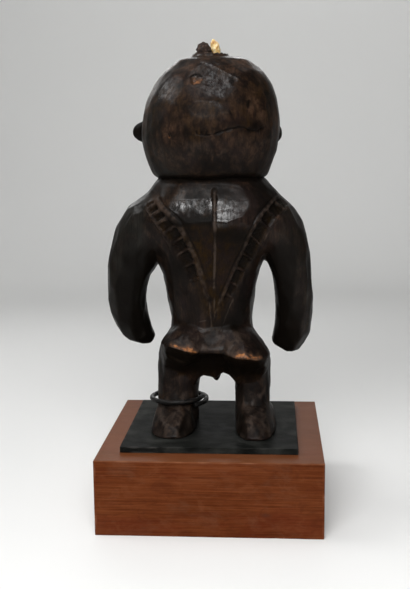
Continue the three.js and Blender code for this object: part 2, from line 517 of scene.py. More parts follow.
@dataclass(frozen=True)
class Groove:
    """A line cut into the surface, or left proud of it.

    Attributes:
        line: Its corners, in millimetres.
        depth: Millimetres deep, negative for a ridge.
        width: Millimetres across at half depth.
        marks: What it leaves on the wood, and how strongly.
        wander: The share by which its width wanders.
        taper: Millimetres over which each end dies out.
        square: How square its section is: 2 is a V, 4 and more a channel.
    """

    line: Line
    depth: float
    width: float
    marks: Marks
    wander: float
    taper: float = 3
    square: float = 2

    def work(self, surface: CarvedSurface) -> None:
        """Cuts the line.

        Args:
            surface: What is carved.
        """
        nearby, away, along, length = surface.beside(self.line, self.width * 2 + 2)
        sway = 1 + self.wander * surface.ripple(9, 31, nearby)
        profile = np.exp(-math.log(2) * (away / (self.width / 2 * sway)) ** self.square)
        ends = window(along, -0.2, self.taper, length - self.taper, length + 0.2)
        amount = surface.spread(nearby, profile * ends)
        surface.sink(amount * self.depth)
        for mark, strength in self.marks.items():
            surface.stain(mark, amount * strength)


@dataclass(frozen=True)
class Ladder:
    """A carved band: two rails with rungs between them, the cells cut in as notches.

    Attributes:
        outer: The outer rail from the shoulder down, in millimetres.
        inner: The inner rail, matched with it corner for corner.
        rungs: Where the rungs stand, counted in corners from the top.
        depth: How deep the cells are cut, in millimetres.
        rail: Width of the inner rail.
        lip: Width of the outer rail.
        rung: Width of a rung.
        outer_end: Where the outer rail dies out, counted in corners.
        fade: Where the cells die out, counted in corners.
        cell: How much of the band's width the cells take from the inner rail, at the top and at the foot.
    """

    outer: Line
    inner: Line
    rungs: tuple[float, ...]
    depth: float
    rail: float
    lip: float
    rung: float
    outer_end: float
    fade: tuple[float, float]
    cell: tuple[float, float]

    def measure(self, surface: CarvedSurface) -> tuple[np.ndarray, np.ndarray, np.ndarray, np.ndarray, np.ndarray]:
        """Measures the points of the surface against the band.

        Args:
            surface: What is carved.

        Returns:
            Indices of the points, millimetres from the inner rail and from the outer one, place along the
            band in corners, and millimetres to a corner.
        """
        normal = surface.normals()
        last = len(self.inner) - 1
        steps = np.linspace(0, last, last * 18 + 1)
        knots = np.arange(last + 1)
        rails = []
        for rail in (self.inner, self.outer):
            corners = np.array(rail, dtype=float)
            path = np.stack([np.interp(steps, knots, corners[:, k]) for k in range(3)], axis=1)
            round_off(path, 60)
            rails.append(surface.settle(path, normal))
        inner, outer = rails
        across = outer - inner
        wide = np.linalg.norm(across, axis=1)
        nearby = surface.around(np.concatenate(rails), 4)
        place = surface.place[nearby]
        offset = place[:, None] - inner[None]
        share = np.clip((offset * across[None]).sum(axis=2) / wide[None] ** 2, -0.5, 1.5)
        gap = np.linalg.norm(offset - share[..., None] * across[None], axis=2)
        best = gap.argmin(axis=1)
        rows = np.arange(len(nearby))
        share = share[rows, best]
        ahead = np.gradient((inner + outer) / 2, steps, axis=0)[best]
        rest = offset[rows, best] - share[:, None] * across[best]
        pitch = np.linalg.norm(ahead, axis=1)
        along = steps[best] + (rest * ahead).sum(axis=1) / pitch**2
        close = gap[rows, best] < 4.5
        inside, outside = share * wide[best], (1 - share) * wide[best]
        return nearby[close], inside[close], outside[close], along[close], pitch[close]

    def work(self, surface: CarvedSurface) -> None:
        """Cuts the cells and leaves the rails and rungs standing.

        Args:
            surface: What is carved.
        """
        nearby, inside, outside, along, pitch = self.measure(surface)
        last = len(self.inner) - 1
        sway = 0.26 * surface.ripple(7, 77, nearby) + 0.2 * surface.ripple(3, 78, nearby)
        ends = window(along, -0.35, 0.25, last - 0.3, last + 0.1)
        dying = falling(along, *self.fade)
        rung = np.zeros(len(nearby))
        for stop in self.rungs:
            away = np.abs(along - stop) * pitch + sway
            rung = np.maximum(rung, bell(away, 0, self.rung / 2 + 0.15, 4))
        band = inside / np.maximum(inside + outside, 1e-6)
        cells = smoothstep(inside + sway, self.rail / 2 - 0.1, self.rail / 2 + 0.75)
        cells = cells * smoothstep(outside + sway, self.lip / 2 - 0.1, self.lip / 2 + 0.75)
        take = np.interp(along, (0, last), self.cell) + 0.08 * sway
        cells = cells * (1 - smoothstep(band, take - 0.16, take + 0.02) * (take < 0.97))
        cells = cells * (1 - rung) * ends * dying
        deep = self.depth * (1.15 - 0.45 * np.clip(band, 0, 1)) * (1 + 0.5 * sway)
        rail = bell(inside + sway, 0, self.rail / 2, 4) * ends
        lip_end = falling(along, self.outer_end - 0.6, self.outer_end + 0.2)
        lip = bell(np.abs(outside + sway), 0, self.lip / 2, 3) * ends * lip_end
        beside = bell(inside, -self.rail / 2 - 0.75, 0.75) * ends * (0.35 + 0.65 * dying)
        margin = bell(outside, -self.lip / 2 - 0.6, 0.6) * ends * lip_end
        amount = deep * cells + 0.75 * beside + 0.4 * margin - 0.28 * rail - 0.25 * lip
        surface.sink(surface.spread(nearby, amount))
        within = smoothstep(inside, 0, 1) * smoothstep(outside, 0, 1) * falling(band, take, take + 0.2)
        worn = 0.62 + 0.3 * surface.ripple(6, 79, nearby)
        pale = np.maximum(np.maximum(rail * 0.75, lip * 0.8), rung * within * ends * dying * 0.7) * worn
        # Painted shade: the cells and the ditch beside the inner rail are darkened most where they are deepest, and
        # the cells are tinted olive.
        deep_side = cells * (1.1 - 0.7 * np.clip(band, 0, 1))
        darkest = np.maximum(0.95 * deep_side, 0.8 * beside)
        for mark, strength in ((Mark.DUST, pale), (Mark.DARK, darkest), (Mark.WARM, cells)):
            surface.stain(mark, surface.spread(nearby, strength))


@dataclass(frozen=True)
class Pit:
    """A knot hole, an eye's pupil, a nostril or a dent.

    Attributes:
        centre: Its middle, in millimetres.
        wide: Its half width, in millimetres.
        high: Its half height, in millimetres.
        depth: How deep it goes, in millimetres.
        ragged: How uneven its rim is, from 0 to 1.
        marks: What it leaves on the wood, and how strongly.
    """

    centre: Point
    wide: float
    high: float
    depth: float
    ragged: float
    marks: Marks

    def work(self, surface: CarvedSurface) -> None:
        """Cuts the pit along the surface's own outward direction.

        Args:
            surface: What is carved.
        """
        normal = surface.normals()
        offset = surface.place - np.array(self.centre)
        inward = unit(normal[np.linalg.norm(offset, axis=1).argmin()])
        side = unit(np.cross([0, 0, 1], inward))
        rise = np.cross(inward, side)
        level = offset @ inward
        away = np.sqrt((offset @ side / self.wide) ** 2 + (offset @ rise / self.high) ** 2)
        away *= 1 + self.ragged * surface.ripple(3.2, 5) + self.ragged * surface.ripple(7, 6)
        inside = falling(away, 0.72, 1.12) * (np.abs(level) < 6 + self.depth)
        surface.place -= inward * (inside * self.depth)[:, None]
        for mark, strength in self.marks.items():
            surface.stain(mark, inside * strength)


@dataclass(frozen=True)
class Patch:
    """A soft-edged area of wear, dirt, polish or painted shade.

    Attributes:
        centre: Its middle, in millimetres.
        radius: How far it spreads, in millimetres.
        mark: The kind of mark.
        strength: How strong it is, from 0 to 1.
        shape: How each axis counts in its spread.
    """

    centre: Point
    radius: float
    mark: Mark
    strength: float
    shape: Point = (1, 1, 1)

    def work(self, surface: CarvedSurface) -> None:
        """Leaves the patch.

        Args:
            surface: What is marked.
        """
        away = surface.away(self.centre, self.shape)
        away = away * (1 + 0.22 * surface.ripple(9, 12) + 0.12 * surface.ripple(3.5, 13))
        surface.stain(self.mark, self.strength * bell(away, 0, self.radius, 2.6))


# -------- finishes


class NodeSheet:
    """A material's node tree, with short calls for the nodes that the finishes share."""

    def __init__(self, name: str) -> None:
        """Starts a material.

        Args:
            name: The material's name.
        """
        self.material = bpy.data.materials.new(name)
        self.material.use_nodes = True
        self.tree = self.material.node_tree
        self.shader = self.tree.nodes["Principled BSDF"]
        self.place = self.tree.nodes.new("ShaderNodeTexCoord").outputs["Object"]

    def feed(self, socket: Socket, value: object) -> None:
        """Gives a socket a link or a plain value.

        Args:
            socket: The input.
            value: An output socket, a number, or a colour or vector as a tuple.
        """
        if isinstance(value, Socket):
            self.tree.links.new(value, socket)
        elif isinstance(value, tuple) and socket.type == "RGBA":
            socket.default_value = (*value, 1)
        else:
            socket.default_value = value

    def shade(self, **inputs: object) -> None:
        """Sets the shader's inputs by name, with underscores for spaces, to links or values."""
        for name, value in inputs.items():
            self.feed(self.shader.inputs[name.replace("_", " ")], value)

    def stretch(self, scale: Point, turn: Point = (0, 0, 0), shift: Point = (0, 0, 0)) -> Socket:
        """The place on the piece, scaled for a pattern.

        Args:
            scale: Repeats a metre along each axis.
            turn: Turns in degrees.
            shift: Shift in metres before scaling.

        Returns:
            The vector output.
        """
        node = self.tree.nodes.new("ShaderNodeMapping")
        node.inputs["Scale"].default_value = scale
        node.inputs["Rotation"].default_value = tuple(math.radians(a) for a in turn)
        node.inputs["Location"].default_value = tuple(s * k for s, k in zip(shift, scale))
        self.feed(node.inputs["Vector"], self.place)
        return node.outputs["Vector"]

    def noise(self, scale: Point, detail: float, rough: float, bend: float = 0, **placing: Point) -> Socket:
        """Cloudy noise.

        Args:
            scale: Repeats a metre along each axis.
            detail: Finer layers.
            rough: Strength of the finer layers.
            bend: Distortion.
            placing: The turn and shift that stretch takes.

        Returns:
            The grey output, about 0.5 in the middle.
        """
        node = self.tree.nodes.new("ShaderNodeTexNoise")
        self.feed(node.inputs["Vector"], self.stretch(scale, **placing))
        for name, value in (("Scale", 1), ("Detail", detail), ("Roughness", rough), ("Distortion", bend)):
            node.inputs[name].default_value = value
        return node.outputs["Fac"]

    def cells(self, scale: Point) -> Socket:
        """Distance from the middle of the nearest cell of a cellular noise.

        Args:
            scale: Cells a metre along each axis.

        Returns:
            The grey output.
        """
        node = self.tree.nodes.new("ShaderNodeTexVoronoi")
        node.inputs["Scale"].default_value = 1
        self.feed(node.inputs["Vector"], self.stretch(scale))
        return node.outputs["Distance"]

    def ramp(self, value: Socket, stops: tuple[tuple[float, Colour], ...]) -> Socket:
        """Turns a grey into colours.

        Args:
            value: The grey.
            stops: Places and colours, in order.

        Returns:
            The colour output.
        """
        node = self.tree.nodes.new("ShaderNodeValToRGB")
        band = node.color_ramp
        while len(band.elements) < len(stops):
            band.elements.new(0.5)
        for element, (where, colour) in zip(band.elements, stops):
            element.position, element.color = where, (*colour, 1)
        self.feed(node.inputs["Fac"], value)
        return node.outputs["Color"]

    def level(self, value: Socket, low: float, high: float, start: float = 0, end: float = 1) -> Socket:
        """Eases a grey from one range to another.

        Args:
            value: The grey.
            low: Where the rise starts.
            high: Where the rise ends.
            start: Result at low.
            end: Result at high.

        Returns:
            The new grey.
        """
        node = self.tree.nodes.new("ShaderNodeMapRange")
        node.interpolation_type = "SMOOTHSTEP"
        self.feed(node.inputs["Value"], value)
        for name, number in (("From Min", low), ("From Max", high), ("To Min", start), ("To Max", end)):
            node.inputs[name].default_value = number
        return node.outputs["Result"]

    def reckon(self, operation: str, first: object, second: object, clamp: bool = False) -> Socket:
        """Works with two greys.

        Args:
            operation: Blender's name for it, such as MULTIPLY.
            first: A link or a number.
            second: A link or a number.
            clamp: Whether the result stays from 0 to 1.

        Returns:
            The result.
        """
        node = self.tree.nodes.new("ShaderNodeMath")
        node.operation, node.use_clamp = operation, clamp
        self.feed(node.inputs[0], first)
        self.feed(node.inputs[1], second)
        return node.outputs[0]

    def times(self, first: object, second: object, clamp: bool = False) -> Socket:
        """Multiplies two greys, and keeps the result from 0 to 1 where clamp is set."""
        return self.reckon("MULTIPLY", first, second, clamp)

    def plus(self, first: object, second: object) -> Socket:
        """Adds two greys."""
        return self.reckon("ADD", first, second)

    def less(self, first: object, second: object, clamp: bool = False) -> Socket:
        """Takes the second grey from the first, and keeps the result from 0 to 1 where clamp is set."""
        return self.reckon("SUBTRACT", first, second, clamp)

    def blend(self, share: object, first: object, second: object) -> Socket:
        """Mixes two colours.

        Args:
            share: How much of the second.
            first: A link or a colour.
            second: A link or a colour.

        Returns:
            The colour output.
        """
        node = self.tree.nodes.new("ShaderNodeMix")
        node.data_type = "RGBA"
        self.feed(node.inputs[0], share)
        self.feed(node.inputs[6], first)
        self.feed(node.inputs[7], second)
        return node.outputs[2]

    def lay(self, under: object, colour: object, grey: Socket, low: float, high: float, *ends: float) -> Socket:
        """Lays a colour over another as a grey rises from low to high, by the shares that level takes as ends."""
        return self.blend(self.level(grey, low, high, *ends), under, colour)

    def mark(self, mark: Mark) -> Socket:
        """What the carving left on each point.

        Args:
            mark: The kind of mark.

        Returns:
            The grey output.
        """
        node = self.tree.nodes.new("ShaderNodeAttribute")
        node.attribute_name = mark.value
        return node.outputs["Fac"]

    def bump(self, height: Socket, depth: float, strength: float, under: Socket | None = None) -> Socket:
        """Fine relief.

        Args:
            height: The grey it follows.
            depth: Metres for a full grey step.
            strength: How strongly it shows.
            under: A coarser relief it lies on.

        Returns:
            The normal output.
        """
        node = self.tree.nodes.new("ShaderNodeBump")
        node.inputs["Strength"].default_value = strength
        node.inputs["Distance"].default_value = depth
        self.feed(node.inputs["Height"], height)
        if under is not None:
            self.feed(node.inputs["Normal"], under)
        return node.outputs["Normal"]


@dataclass(frozen=True)
class OiledWood:
    """Old dark hardwood, oiled and handled: near black, with brown mottling, worn edges and dusty cuts, and painted
    shade and a painted cool sheen in its colour.

    Attributes:
        pitch: The blackest tone.
        umber: The middle tone.
        brown: The lightest of the unworn wood.
        rubbed: Wood rubbed through on a face.
        bare: Fresh wood at a worn edge.
        dusty: Dirt and dust in the cuts.
        plum: The purple-brown that clouds over it.
        olive: Where the oil has gone greenish, and the olive tint of the painted shade under the seat and in the
            ladder cells.
        painted_sheen: A painted cool grey reflection on the arms and the head's upper left.
        scratch: Fine scratches along the grain.
        amber: Wood worn halfway to bare.
        shade_and_dark_wood: Painted shade in creases, hollows, under overhangs and between parts, and the darker wood
            of cracks, nicks, cut lines, the collar and the lower back.
    """

    pitch: Colour = (0.0035, 0.0026, 0.0022)
    umber: Colour = (0.0088, 0.0054, 0.0038)
    brown: Colour = (0.030, 0.0170, 0.0100)
    rubbed: Colour = (0.062, 0.033, 0.020)
    bare: Colour = (0.36, 0.140, 0.042)
    dusty: Colour = (0.054, 0.039, 0.031)
    plum: Colour = (0.0165, 0.0090, 0.0078)
    olive: Colour = (0.0190, 0.0092, 0.0012)
    painted_sheen: Colour = (0.0112, 0.0114, 0.0098)
    scratch: Colour = (0.040, 0.026, 0.018)
    amber: Colour = (0.17, 0.060, 0.020)
    shade_and_dark_wood: Colour = (0.0026, 0.0019, 0.0013)

    def make(self) -> bpy.types.Material:
        """Builds the material.

        Returns:
            The material.
        """
        sheet = NodeSheet("oiled_wood")
        cloud = sheet.noise((34, 34, 26), 6, 0.68, 0.6)
        small = sheet.noise((150, 150, 100), 5, 0.7, 0.5, shift=(0.3, 0.1, 0.2))
        grain = sheet.noise((620, 620, 34), 5, 0.7, 0.5, turn=(2, 3, 0))
        pore = sheet.noise((1700, 1700, 160), 2, 0.5)
        tone = sheet.plus(sheet.times(cloud, 0.5), sheet.times(small, 0.5))
        body = sheet.ramp(tone, ((0.41, self.pitch), (0.5, self.umber), (0.60, self.brown)))
        warm = sheet.noise((22, 22, 22), 4, 0.6, shift=(0.7, 0.2, 0.4))
        body = sheet.lay(body, self.plum, warm, 0.46, 0.60, 0, 0.6)
        olive = sheet.times(sheet.mark(Mark.WARM), sheet.level(small, 0.42, 0.60, 0.1, 0.95))
        body = sheet.blend(olive, body, self.olive)
        # Painted sheen: the COOL mark lays a cool grey reflection into the colour.
        cool = sheet.times(sheet.mark(Mark.COOL), sheet.level(cloud, 0.34, 0.6, 0.35, 0.95))
        body = sheet.blend(cool, body, self.painted_sheen)
        body = sheet.lay(body, self.pitch, grain, 0.36, 0.64, 0, 0.7)
        scratch = sheet.noise((1500, 1500, 55), 2, 0.5, turn=(9, 14, 0), shift=(0.2, 0.6, 0.1))
        body = sheet.lay(body, self.scratch, scratch, 0.66, 0.76, 0, 0.55)
        mottle = sheet.noise((230, 230, 170), 5, 0.7, 0.6, shift=(0.4, 0.8, 0.3))
        patchy = sheet.times(sheet.mark(Mark.WORN), sheet.level(small, 0.28, 0.68, 0.35, 1.25))
        thin = sheet.blend(sheet.level(mottle, 0.40, 0.60), self.brown, self.rubbed)
        through = sheet.blend(sheet.level(mottle, 0.42, 0.62), self.amber, self.bare)
        body = sheet.lay(sheet.lay(body, thin, patchy, 0.05, 0.62), through, patchy, 0.55, 0.95)
        dust = sheet.times(sheet.mark(Mark.DUST), sheet.level(small, 0.32, 0.6, 0.35, 1))
        body = sheet.lay(body, self.dusty, dust, 0.08, 0.95, 0, 0.9)
        # Painted shade, and the dark of cracks and nicks, laid in from the DARK mark.
        dark = sheet.times(sheet.mark(Mark.DARK), sheet.level(small, 0.25, 0.6, 0.75, 1))
        body = sheet.lay(body, self.shade_and_dark_wood, dark, 0.05, 0.9, 0, 0.93)
        rough = sheet.plus(sheet.level(cloud, 0.3, 0.7, 0.52, 0.36), sheet.level(pore, 0.3, 0.7, -0.04, 0.06))
        rough = sheet.plus(rough, sheet.times(dust, 0.35))
        gloss = sheet.mark(Mark.GLOSS)
        rough = sheet.less(rough, sheet.times(gloss, 0.22), clamp=True)
        streak = sheet.noise((520, 520, 36), 3, 0.6, turn=(3, 4, 0), shift=(0.3, 0.3, 0.9))
        shine = sheet.times(gloss, sheet.level(streak, 0.38, 0.60, 0.25, 1.25))
        plain = sheet.times(sheet.level(cloud, 0.40, 0.62, 0.02, 0.09), sheet.less(1, sheet.mark(Mark.WARM)))
        clean = sheet.less(1, sheet.reckon("MAXIMUM", dust, dark))
        coat = sheet.times(sheet.plus(shine, plain), clean, clamp=True)
        swell = sheet.noise((110, 110, 60), 2, 0.5, shift=(0.1, 0.3, 0.6))
        relief = sheet.bump(swell, 0.0006, 0.3)
        relief = sheet.bump(sheet.plus(sheet.times(grain, 0.7), sheet.times(pore, 0.3)), 0.0002, 0.4, relief)
        glaze = sheet.noise((380, 380, 150), 4, 0.65, 0.6, shift=(0.6, 0.1, 0.5))
        sheet.shade(Base_Color=body, Roughness=rough, Coat_Weight=coat, Normal=relief)
        sheet.shade(Coat_Normal=sheet.bump(glaze, 0.0004, 0.11))
        sheet.shade(Coat_Roughness=0.18, Coat_IOR=1.6, IOR=1.45, Specular_IOR_Level=0.05)
        return sheet.material


@dataclass(frozen=True)
class PlinthWood:
    """Satin red-brown hardwood with fine straight grain along X.

    Attributes:
        dark: The late wood.
        middle: The body of the wood.
        light: The early wood.
        red: Redder clouds.
        ruddy: Lighter blots.
        shadow: Darker blots.
        haze: Where the finish has dulled.
        fleck: Short dark pores.
        dust_and_top_light: The top face's lighter colour, for dust and painted light from above.
        edge: Wood rubbed through at the edges.
        nick: The bottom of a nick.
    """

    dark: Colour = (0.050, 0.0104, 0.0023)
    middle: Colour = (0.087, 0.0212, 0.0060)
    light: Colour = (0.128, 0.0360, 0.0115)
    red: Colour = (0.072, 0.0115, 0.0040)
    ruddy: Colour = (0.118, 0.038, 0.0150)
    shadow: Colour = (0.046, 0.0098, 0.0033)
    haze: Colour = (0.108, 0.046, 0.0240)
    fleck: Colour = (0.034, 0.011, 0.005)
    dust_and_top_light: Colour = (0.190, 0.074, 0.030)
    edge: Colour = (0.24, 0.105, 0.055)
    nick: Colour = (0.05, 0.018, 0.01)

    def make(self) -> bpy.types.Material:
        """Builds the material.

        Returns:
            The material.
        """
        sheet = NodeSheet("plinth_wood")
        bands = sheet.noise((6, 300, 300), 5, 0.65, 0.25, shift=(0, 0.11, 0.31))
        fibre = sheet.noise((24, 1100, 1100), 5, 0.7, 0.2)
        flecks = sheet.noise((60, 1500, 1500), 3, 0.6, shift=(0.1, 0.4, 0.2))
        cloud = sheet.noise((12, 24, 24), 4, 0.6)
        lines = sheet.noise((5, 420, 420), 3, 0.55, shift=(0.2, 0.3, 0.1))
        tone = sheet.plus(sheet.times(bands, 0.20), sheet.times(fibre, 0.52))
        tone = sheet.plus(tone, sheet.times(cloud, 0.28))
        wood = sheet.ramp(tone, ((0.38, self.dark), (0.5, self.middle), (0.62, self.light)))
        wood = sheet.lay(wood, self.dark, lines, 0.60, 0.74, 0, 0.35)
        red = sheet.noise((12, 40, 40), 3, 0.55, shift=(0.5, 0.2, 0.7))
        blot = sheet.noise((60, 110, 110), 5, 0.65, 0.8, shift=(0.3, 0.9, 0.6))
        wood = sheet.lay(wood, self.red, red, 0.46, 0.66, 0, 0.5)
        wood = sheet.lay(wood, self.ruddy, blot, 0.50, 0.66, 0, 0.34)
        wood = sheet.lay(wood, self.shadow, blot, 0.46, 0.34, 0, 0.30)
        haze = sheet.noise((20, 30, 30), 6, 0.7, 0.6, shift=(0.9, 0.5, 0.3))
        wood = sheet.lay(wood, self.haze, haze, 0.52, 0.68, 0, 0.30)
        wood = sheet.lay(wood, self.fleck, flecks, 0.60, 0.74, 0, 0.5)
        # The top face is laid lighter, for dust and painted light from above.
        wood = sheet.lay(wood, self.dust_and_top_light, sheet.mark(Mark.DUST), 0, 1, 0, 0.36)
        wood = sheet.lay(wood, self.edge, sheet.mark(Mark.WORN), 0.1, 0.9, 0, 0.4)
        wood = sheet.lay(wood, self.nick, sheet.mark(Mark.DARK), 0.1, 0.9, 0, 0.6)
        rough = sheet.level(fibre, 0.25, 0.75, 0.36, 0.50)
        height = sheet.less(fibre, sheet.level(flecks, 0.58, 0.75, 0, 0.6))
        relief = sheet.bump(height, 0.00018, 0.5)
        sheet.shade(Base_Color=wood, Roughness=rough, Normal=relief)
        sheet.shade(Coat_Weight=sheet.level(cloud, 0.3, 0.7, 0, 0.03), Coat_Roughness=0.3, Specular_IOR_Level=0.03)
        return sheet.material


@dataclass(frozen=True)
class BlackPaint:
    """Satin black paint on steel, a little dusty and rubbed along the edges, its dust thinned where painted shadow
    falls.

    Attributes:
        paint: The paint.
        haze: Dust lying on it; where the plate leaves it off, the bare black stands for painted shadow.
        speck: Pale specks of dust.
        rubbed: Paint rubbed thin along an edge.
    """

    paint: Colour = (0.0026, 0.0029, 0.0026)
    haze: Colour = (0.0400, 0.0410, 0.0375)
    speck: Colour = (0.06, 0.055, 0.048)
    rubbed: Colour = (0.075, 0.072, 0.068)

    def make(self) -> bpy.types.Material:
        """Builds the material.

        Returns:
            The material.
        """
        sheet = NodeSheet("black_paint")
        cloud = sheet.noise((26, 26, 26), 5, 0.6, 0.5)
        speck = sheet.noise((900, 900, 900), 2, 0.5)
        wipe = sheet.noise((60, 90, 60), 4, 0.6, turn=(0, 0, 24))
        # Dust at the plate's sides; the darker bare paint in the middle is painted shadow under the figure.
        dust_and_shadow = sheet.times(sheet.level(cloud, 0.38, 0.72, 0.1, 0.8), sheet.mark(Mark.DUST))
        skin = sheet.blend(dust_and_shadow, self.paint, self.haze)
        skin = sheet.lay(skin, self.speck, speck, 0.62, 0.76, 0, 0.35)
        skin = sheet.lay(skin, self.rubbed, sheet.mark(Mark.WORN), 0.2, 1, 0, 0.55)
        rough = sheet.plus(sheet.level(cloud, 0.3, 0.7, 0.40, 0.55), sheet.level(wipe, 0.3, 0.7, -0.05, 0.06))
        sheet.shade(Base_Color=skin, Roughness=rough, Normal=sheet.bump(speck, 0.00008, 0.5))
        sheet.shade(Specular_IOR_Level=0.008)
        return sheet.material


@dataclass(frozen=True)
class ForgedIron:
    """Dark hammered iron with a trace of rust.

    Attributes:
        scale: The black skin left by the fire.
        rust: The brown in the low places.
        rubbed: Iron rubbed clean.
    """

    scale: Colour = (0.0042, 0.0040, 0.0038)
    rust: Colour = (0.013, 0.0075, 0.0048)
    rubbed: Colour = (0.026, 0.024, 0.022)

    def make(self) -> bpy.types.Material:
        """Builds the material.

        Returns:
            The material.
        """
        sheet = NodeSheet("forged_iron")
        cloud = sheet.noise((160, 160, 160), 5, 0.65, 0.3)
        fine = sheet.noise((1500, 1500, 1500), 3, 0.6)
        skin = sheet.blend(sheet.level(cloud, 0.5, 0.7, 0, 0.75), self.scale, self.rust)
        worn = sheet.level(sheet.mark(Mark.WORN), 0.2, 1, 0, 0.6)
        skin = sheet.blend(worn, skin, self.rubbed)
        rough = sheet.less(sheet.level(cloud, 0.3, 0.7, 0.40, 0.66), sheet.times(worn, 0.12))
        metal = sheet.level(cloud, 0.5, 0.68, 0.45, 0.05)
        relief = sheet.bump(fine, 0.00015, 0.5, sheet.bump(cloud, 0.0005, 0.5))
        sheet.shade(Base_Color=skin, Roughness=rough, Metallic=metal, Normal=relief, Specular_IOR_Level=0.25)
        return sheet.material


@dataclass(frozen=True)
class CrumbledResin:
    """Brown resin and grit, dry and broken on top.

    Attributes:
        deep: In the gaps.
        body: The resin.
        grit: The lighter crumbs.
    """

    deep: Colour = (0.0075, 0.0034, 0.0022)
    body: Colour = (0.036, 0.0165, 0.0095)
    grit: Colour = (0.150, 0.078, 0.045)

    def make(self) -> bpy.types.Material:
        """Builds the material.

        Returns:
            The material.
        """
        sheet = NodeSheet("crumbled_resin")
        lump = sheet.noise((330, 330, 330), 5, 0.65, 0.3)
        crumb = sheet.cells((900, 900, 900))
        fine = sheet.noise((2600, 2600, 2600), 3, 0.6)
        skin = sheet.ramp(lump, ((0.34, self.deep), (0.52, self.body), (0.70, self.grit)))
        skin = sheet.lay(skin, self.deep, crumb, 0.25, 0.6, 0, 0.55)
        relief = sheet.bump(fine, 0.0002, 0.7, sheet.bump(crumb, 0.0005, -0.6))
        sheet.shade(Base_Color=skin, Roughness=sheet.level(lump, 0.3, 0.7, 0.85, 0.62), Normal=relief)
        sheet.shade(Specular_IOR_Level=0.35)
        return sheet.material


@dataclass(frozen=True)
class PaleResin:
    """A golden-cream chip, amber at its thin edges.

    Attributes:
        cream: The pale faces.
        gold: The warmer parts.
        amber: The deepest parts.
    """

    cream: Colour = (0.90, 0.74, 0.43)
    gold: Colour = (0.76, 0.50, 0.18)
    amber: Colour = (0.42, 0.20, 0.055)

    def make(self) -> bpy.types.Material:
        """Builds the material.

        Returns:
            The material.
        """
        sheet = NodeSheet("pale_resin")
        cloud = sheet.noise((300, 300, 210), 4, 0.6, 0.4)
        fine = sheet.noise((1500, 1500, 1500), 3, 0.6)
        skin = sheet.ramp(cloud, ((0.34, self.amber), (0.45, self.gold), (0.56, self.cream)))
        skin = sheet.lay(skin, self.amber, fine, 0.6, 0.75, 0, 0.4)
        relief = sheet.bump(fine, 0.00012, 0.5)
        sheet.shade(Base_Color=skin, Roughness=sheet.level(cloud, 0.3, 0.7, 0.5, 0.32), Normal=relief)
        sheet.shade(Subsurface_Weight=0.25, Subsurface_Radius=(0.004, 0.0022, 0.001), Subsurface_Scale=0.6)
        return sheet.material


@dataclass(frozen=True)
class StudioPaper:
    """The pale seamless sweep behind and under the piece.

    Attributes:
        tone: Its colour.
        fade: The faint darker clouds in it.
    """

    tone: Colour = (0.80, 0.80, 0.79)
    fade: Colour = (0.74, 0.74, 0.73)

    def make(self) -> bpy.types.Material:
        """Builds the material.

        Returns:
            The material.
        """
        sheet = NodeSheet("studio_paper")
        faint = sheet.noise((3, 3, 3), 2, 0.5)
        tone = sheet.lay(self.tone, self.fade, faint, 0.3, 0.7, 0, 0.04)
        sheet.shade(Base_Color=tone, Roughness=0.85, Specular_IOR_Level=0.2)
        return sheet.material


# -------- shared making


def in_scene(name: str, data: bpy.types.ID) -> bpy.types.Object:
    """Puts a mesh, lamp or camera in the scene.

    Args:
        name: The new object's name.
        data: What it shows.

    Returns:
        The object.
    """
    holder = bpy.data.objects.new(name, data)
    bpy.context.scene.collection.objects.link(holder)
    return holder


def as_mesh(bm: bmesh.types.BMesh, name: str) -> bpy.types.Mesh:
    """Turns a finished bmesh, which is used up, into a mesh.

    Args:
        bm: The bmesh.
        name: The mesh's name.

    Returns:
        The mesh.
    """
    mesh = bpy.data.meshes.new(name)
    bm.to_mesh(mesh)
    bm.free()
    return mesh


def new_piece(name: str, mesh: bpy.types.Mesh, finish: bpy.types.Material, slot: str, *nodes: str) -> bpy.types.Object:
    """Puts a finished mesh in the scene as a piece of the object.

    Args:
        name: The piece's name.
        mesh: Its mesh, in place.
        finish: Its material.
        slot: Not used.
        nodes: The CAD nodes it stands for.

    Returns:
        The piece.
    """
    mesh.name = name
    mesh.materials.clear()
    mesh.materials.append(finish)
    mesh.polygons.foreach_set("use_smooth", [True] * len(mesh.polygons))
    piece = in_scene(name, mesh)
    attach(piece, "root")
    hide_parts(*nodes)
    log.info("%s: %d points, %d faces", name, len(mesh.vertices), len(mesh.polygons))
    return piece


def merged_copy(node: str) -> bmesh.types.BMesh:
    """Takes a copy of a CAD node's mesh as one closed skin.

    Args:
        node: The node's name.

    Returns:
        The skin, in metres.
    """
    bm = bmesh.new()
    bm.from_mesh(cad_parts[node].data)
    bmesh.ops.remove_doubles(bm, verts=bm.verts, dist=1e-6)
    return bm


def even_mesh(bm: bmesh.types.BMesh, pitch: float) -> bpy.types.Mesh:
    """Turns a closed skin into even small squares.

    Args:
        bm: The skin, which is used up.
        pitch: Side of the squares in metres.

    Returns:
        The new mesh.
    """
    rough = as_mesh(bm, "rough")
    holder = in_scene("rough", rough)
    squares = holder.modifiers.new("squares", "REMESH")
    squares.mode, squares.voxel_size = "VOXEL", pitch
    done = bpy.data.meshes.new_from_object(holder.evaluated_get(bpy.context.evaluated_depsgraph_get()))
    bpy.data.objects.remove(holder)
    bpy.data.meshes.remove(rough)
    return done


def pull_out(bm: bmesh.types.BMesh, rim: list[bmesh.types.BMEdge]) -> tuple[list, list]:
    """Extrudes an open rim.

    Args:
        bm: The bmesh that it belongs to.
        rim: Its edges.

    Returns:
        The new rim's edges and its points.
    """
    grown = bmesh.ops.extrude_edge_only(bm, edges=rim)["geom"]
    points = {g for g in grown if isinstance(g, bmesh.types.BMVert)}
    edges = [g for g in grown if isinstance(g, bmesh.types.BMEdge) and points.issuperset(g.verts)]
    return edges, list(points)


def plate_top() -> float:
    """Height of the plate's top, where the figure stands, in millimetres."""
    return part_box("mount_plate")[1].z / MM


# -------- the figure


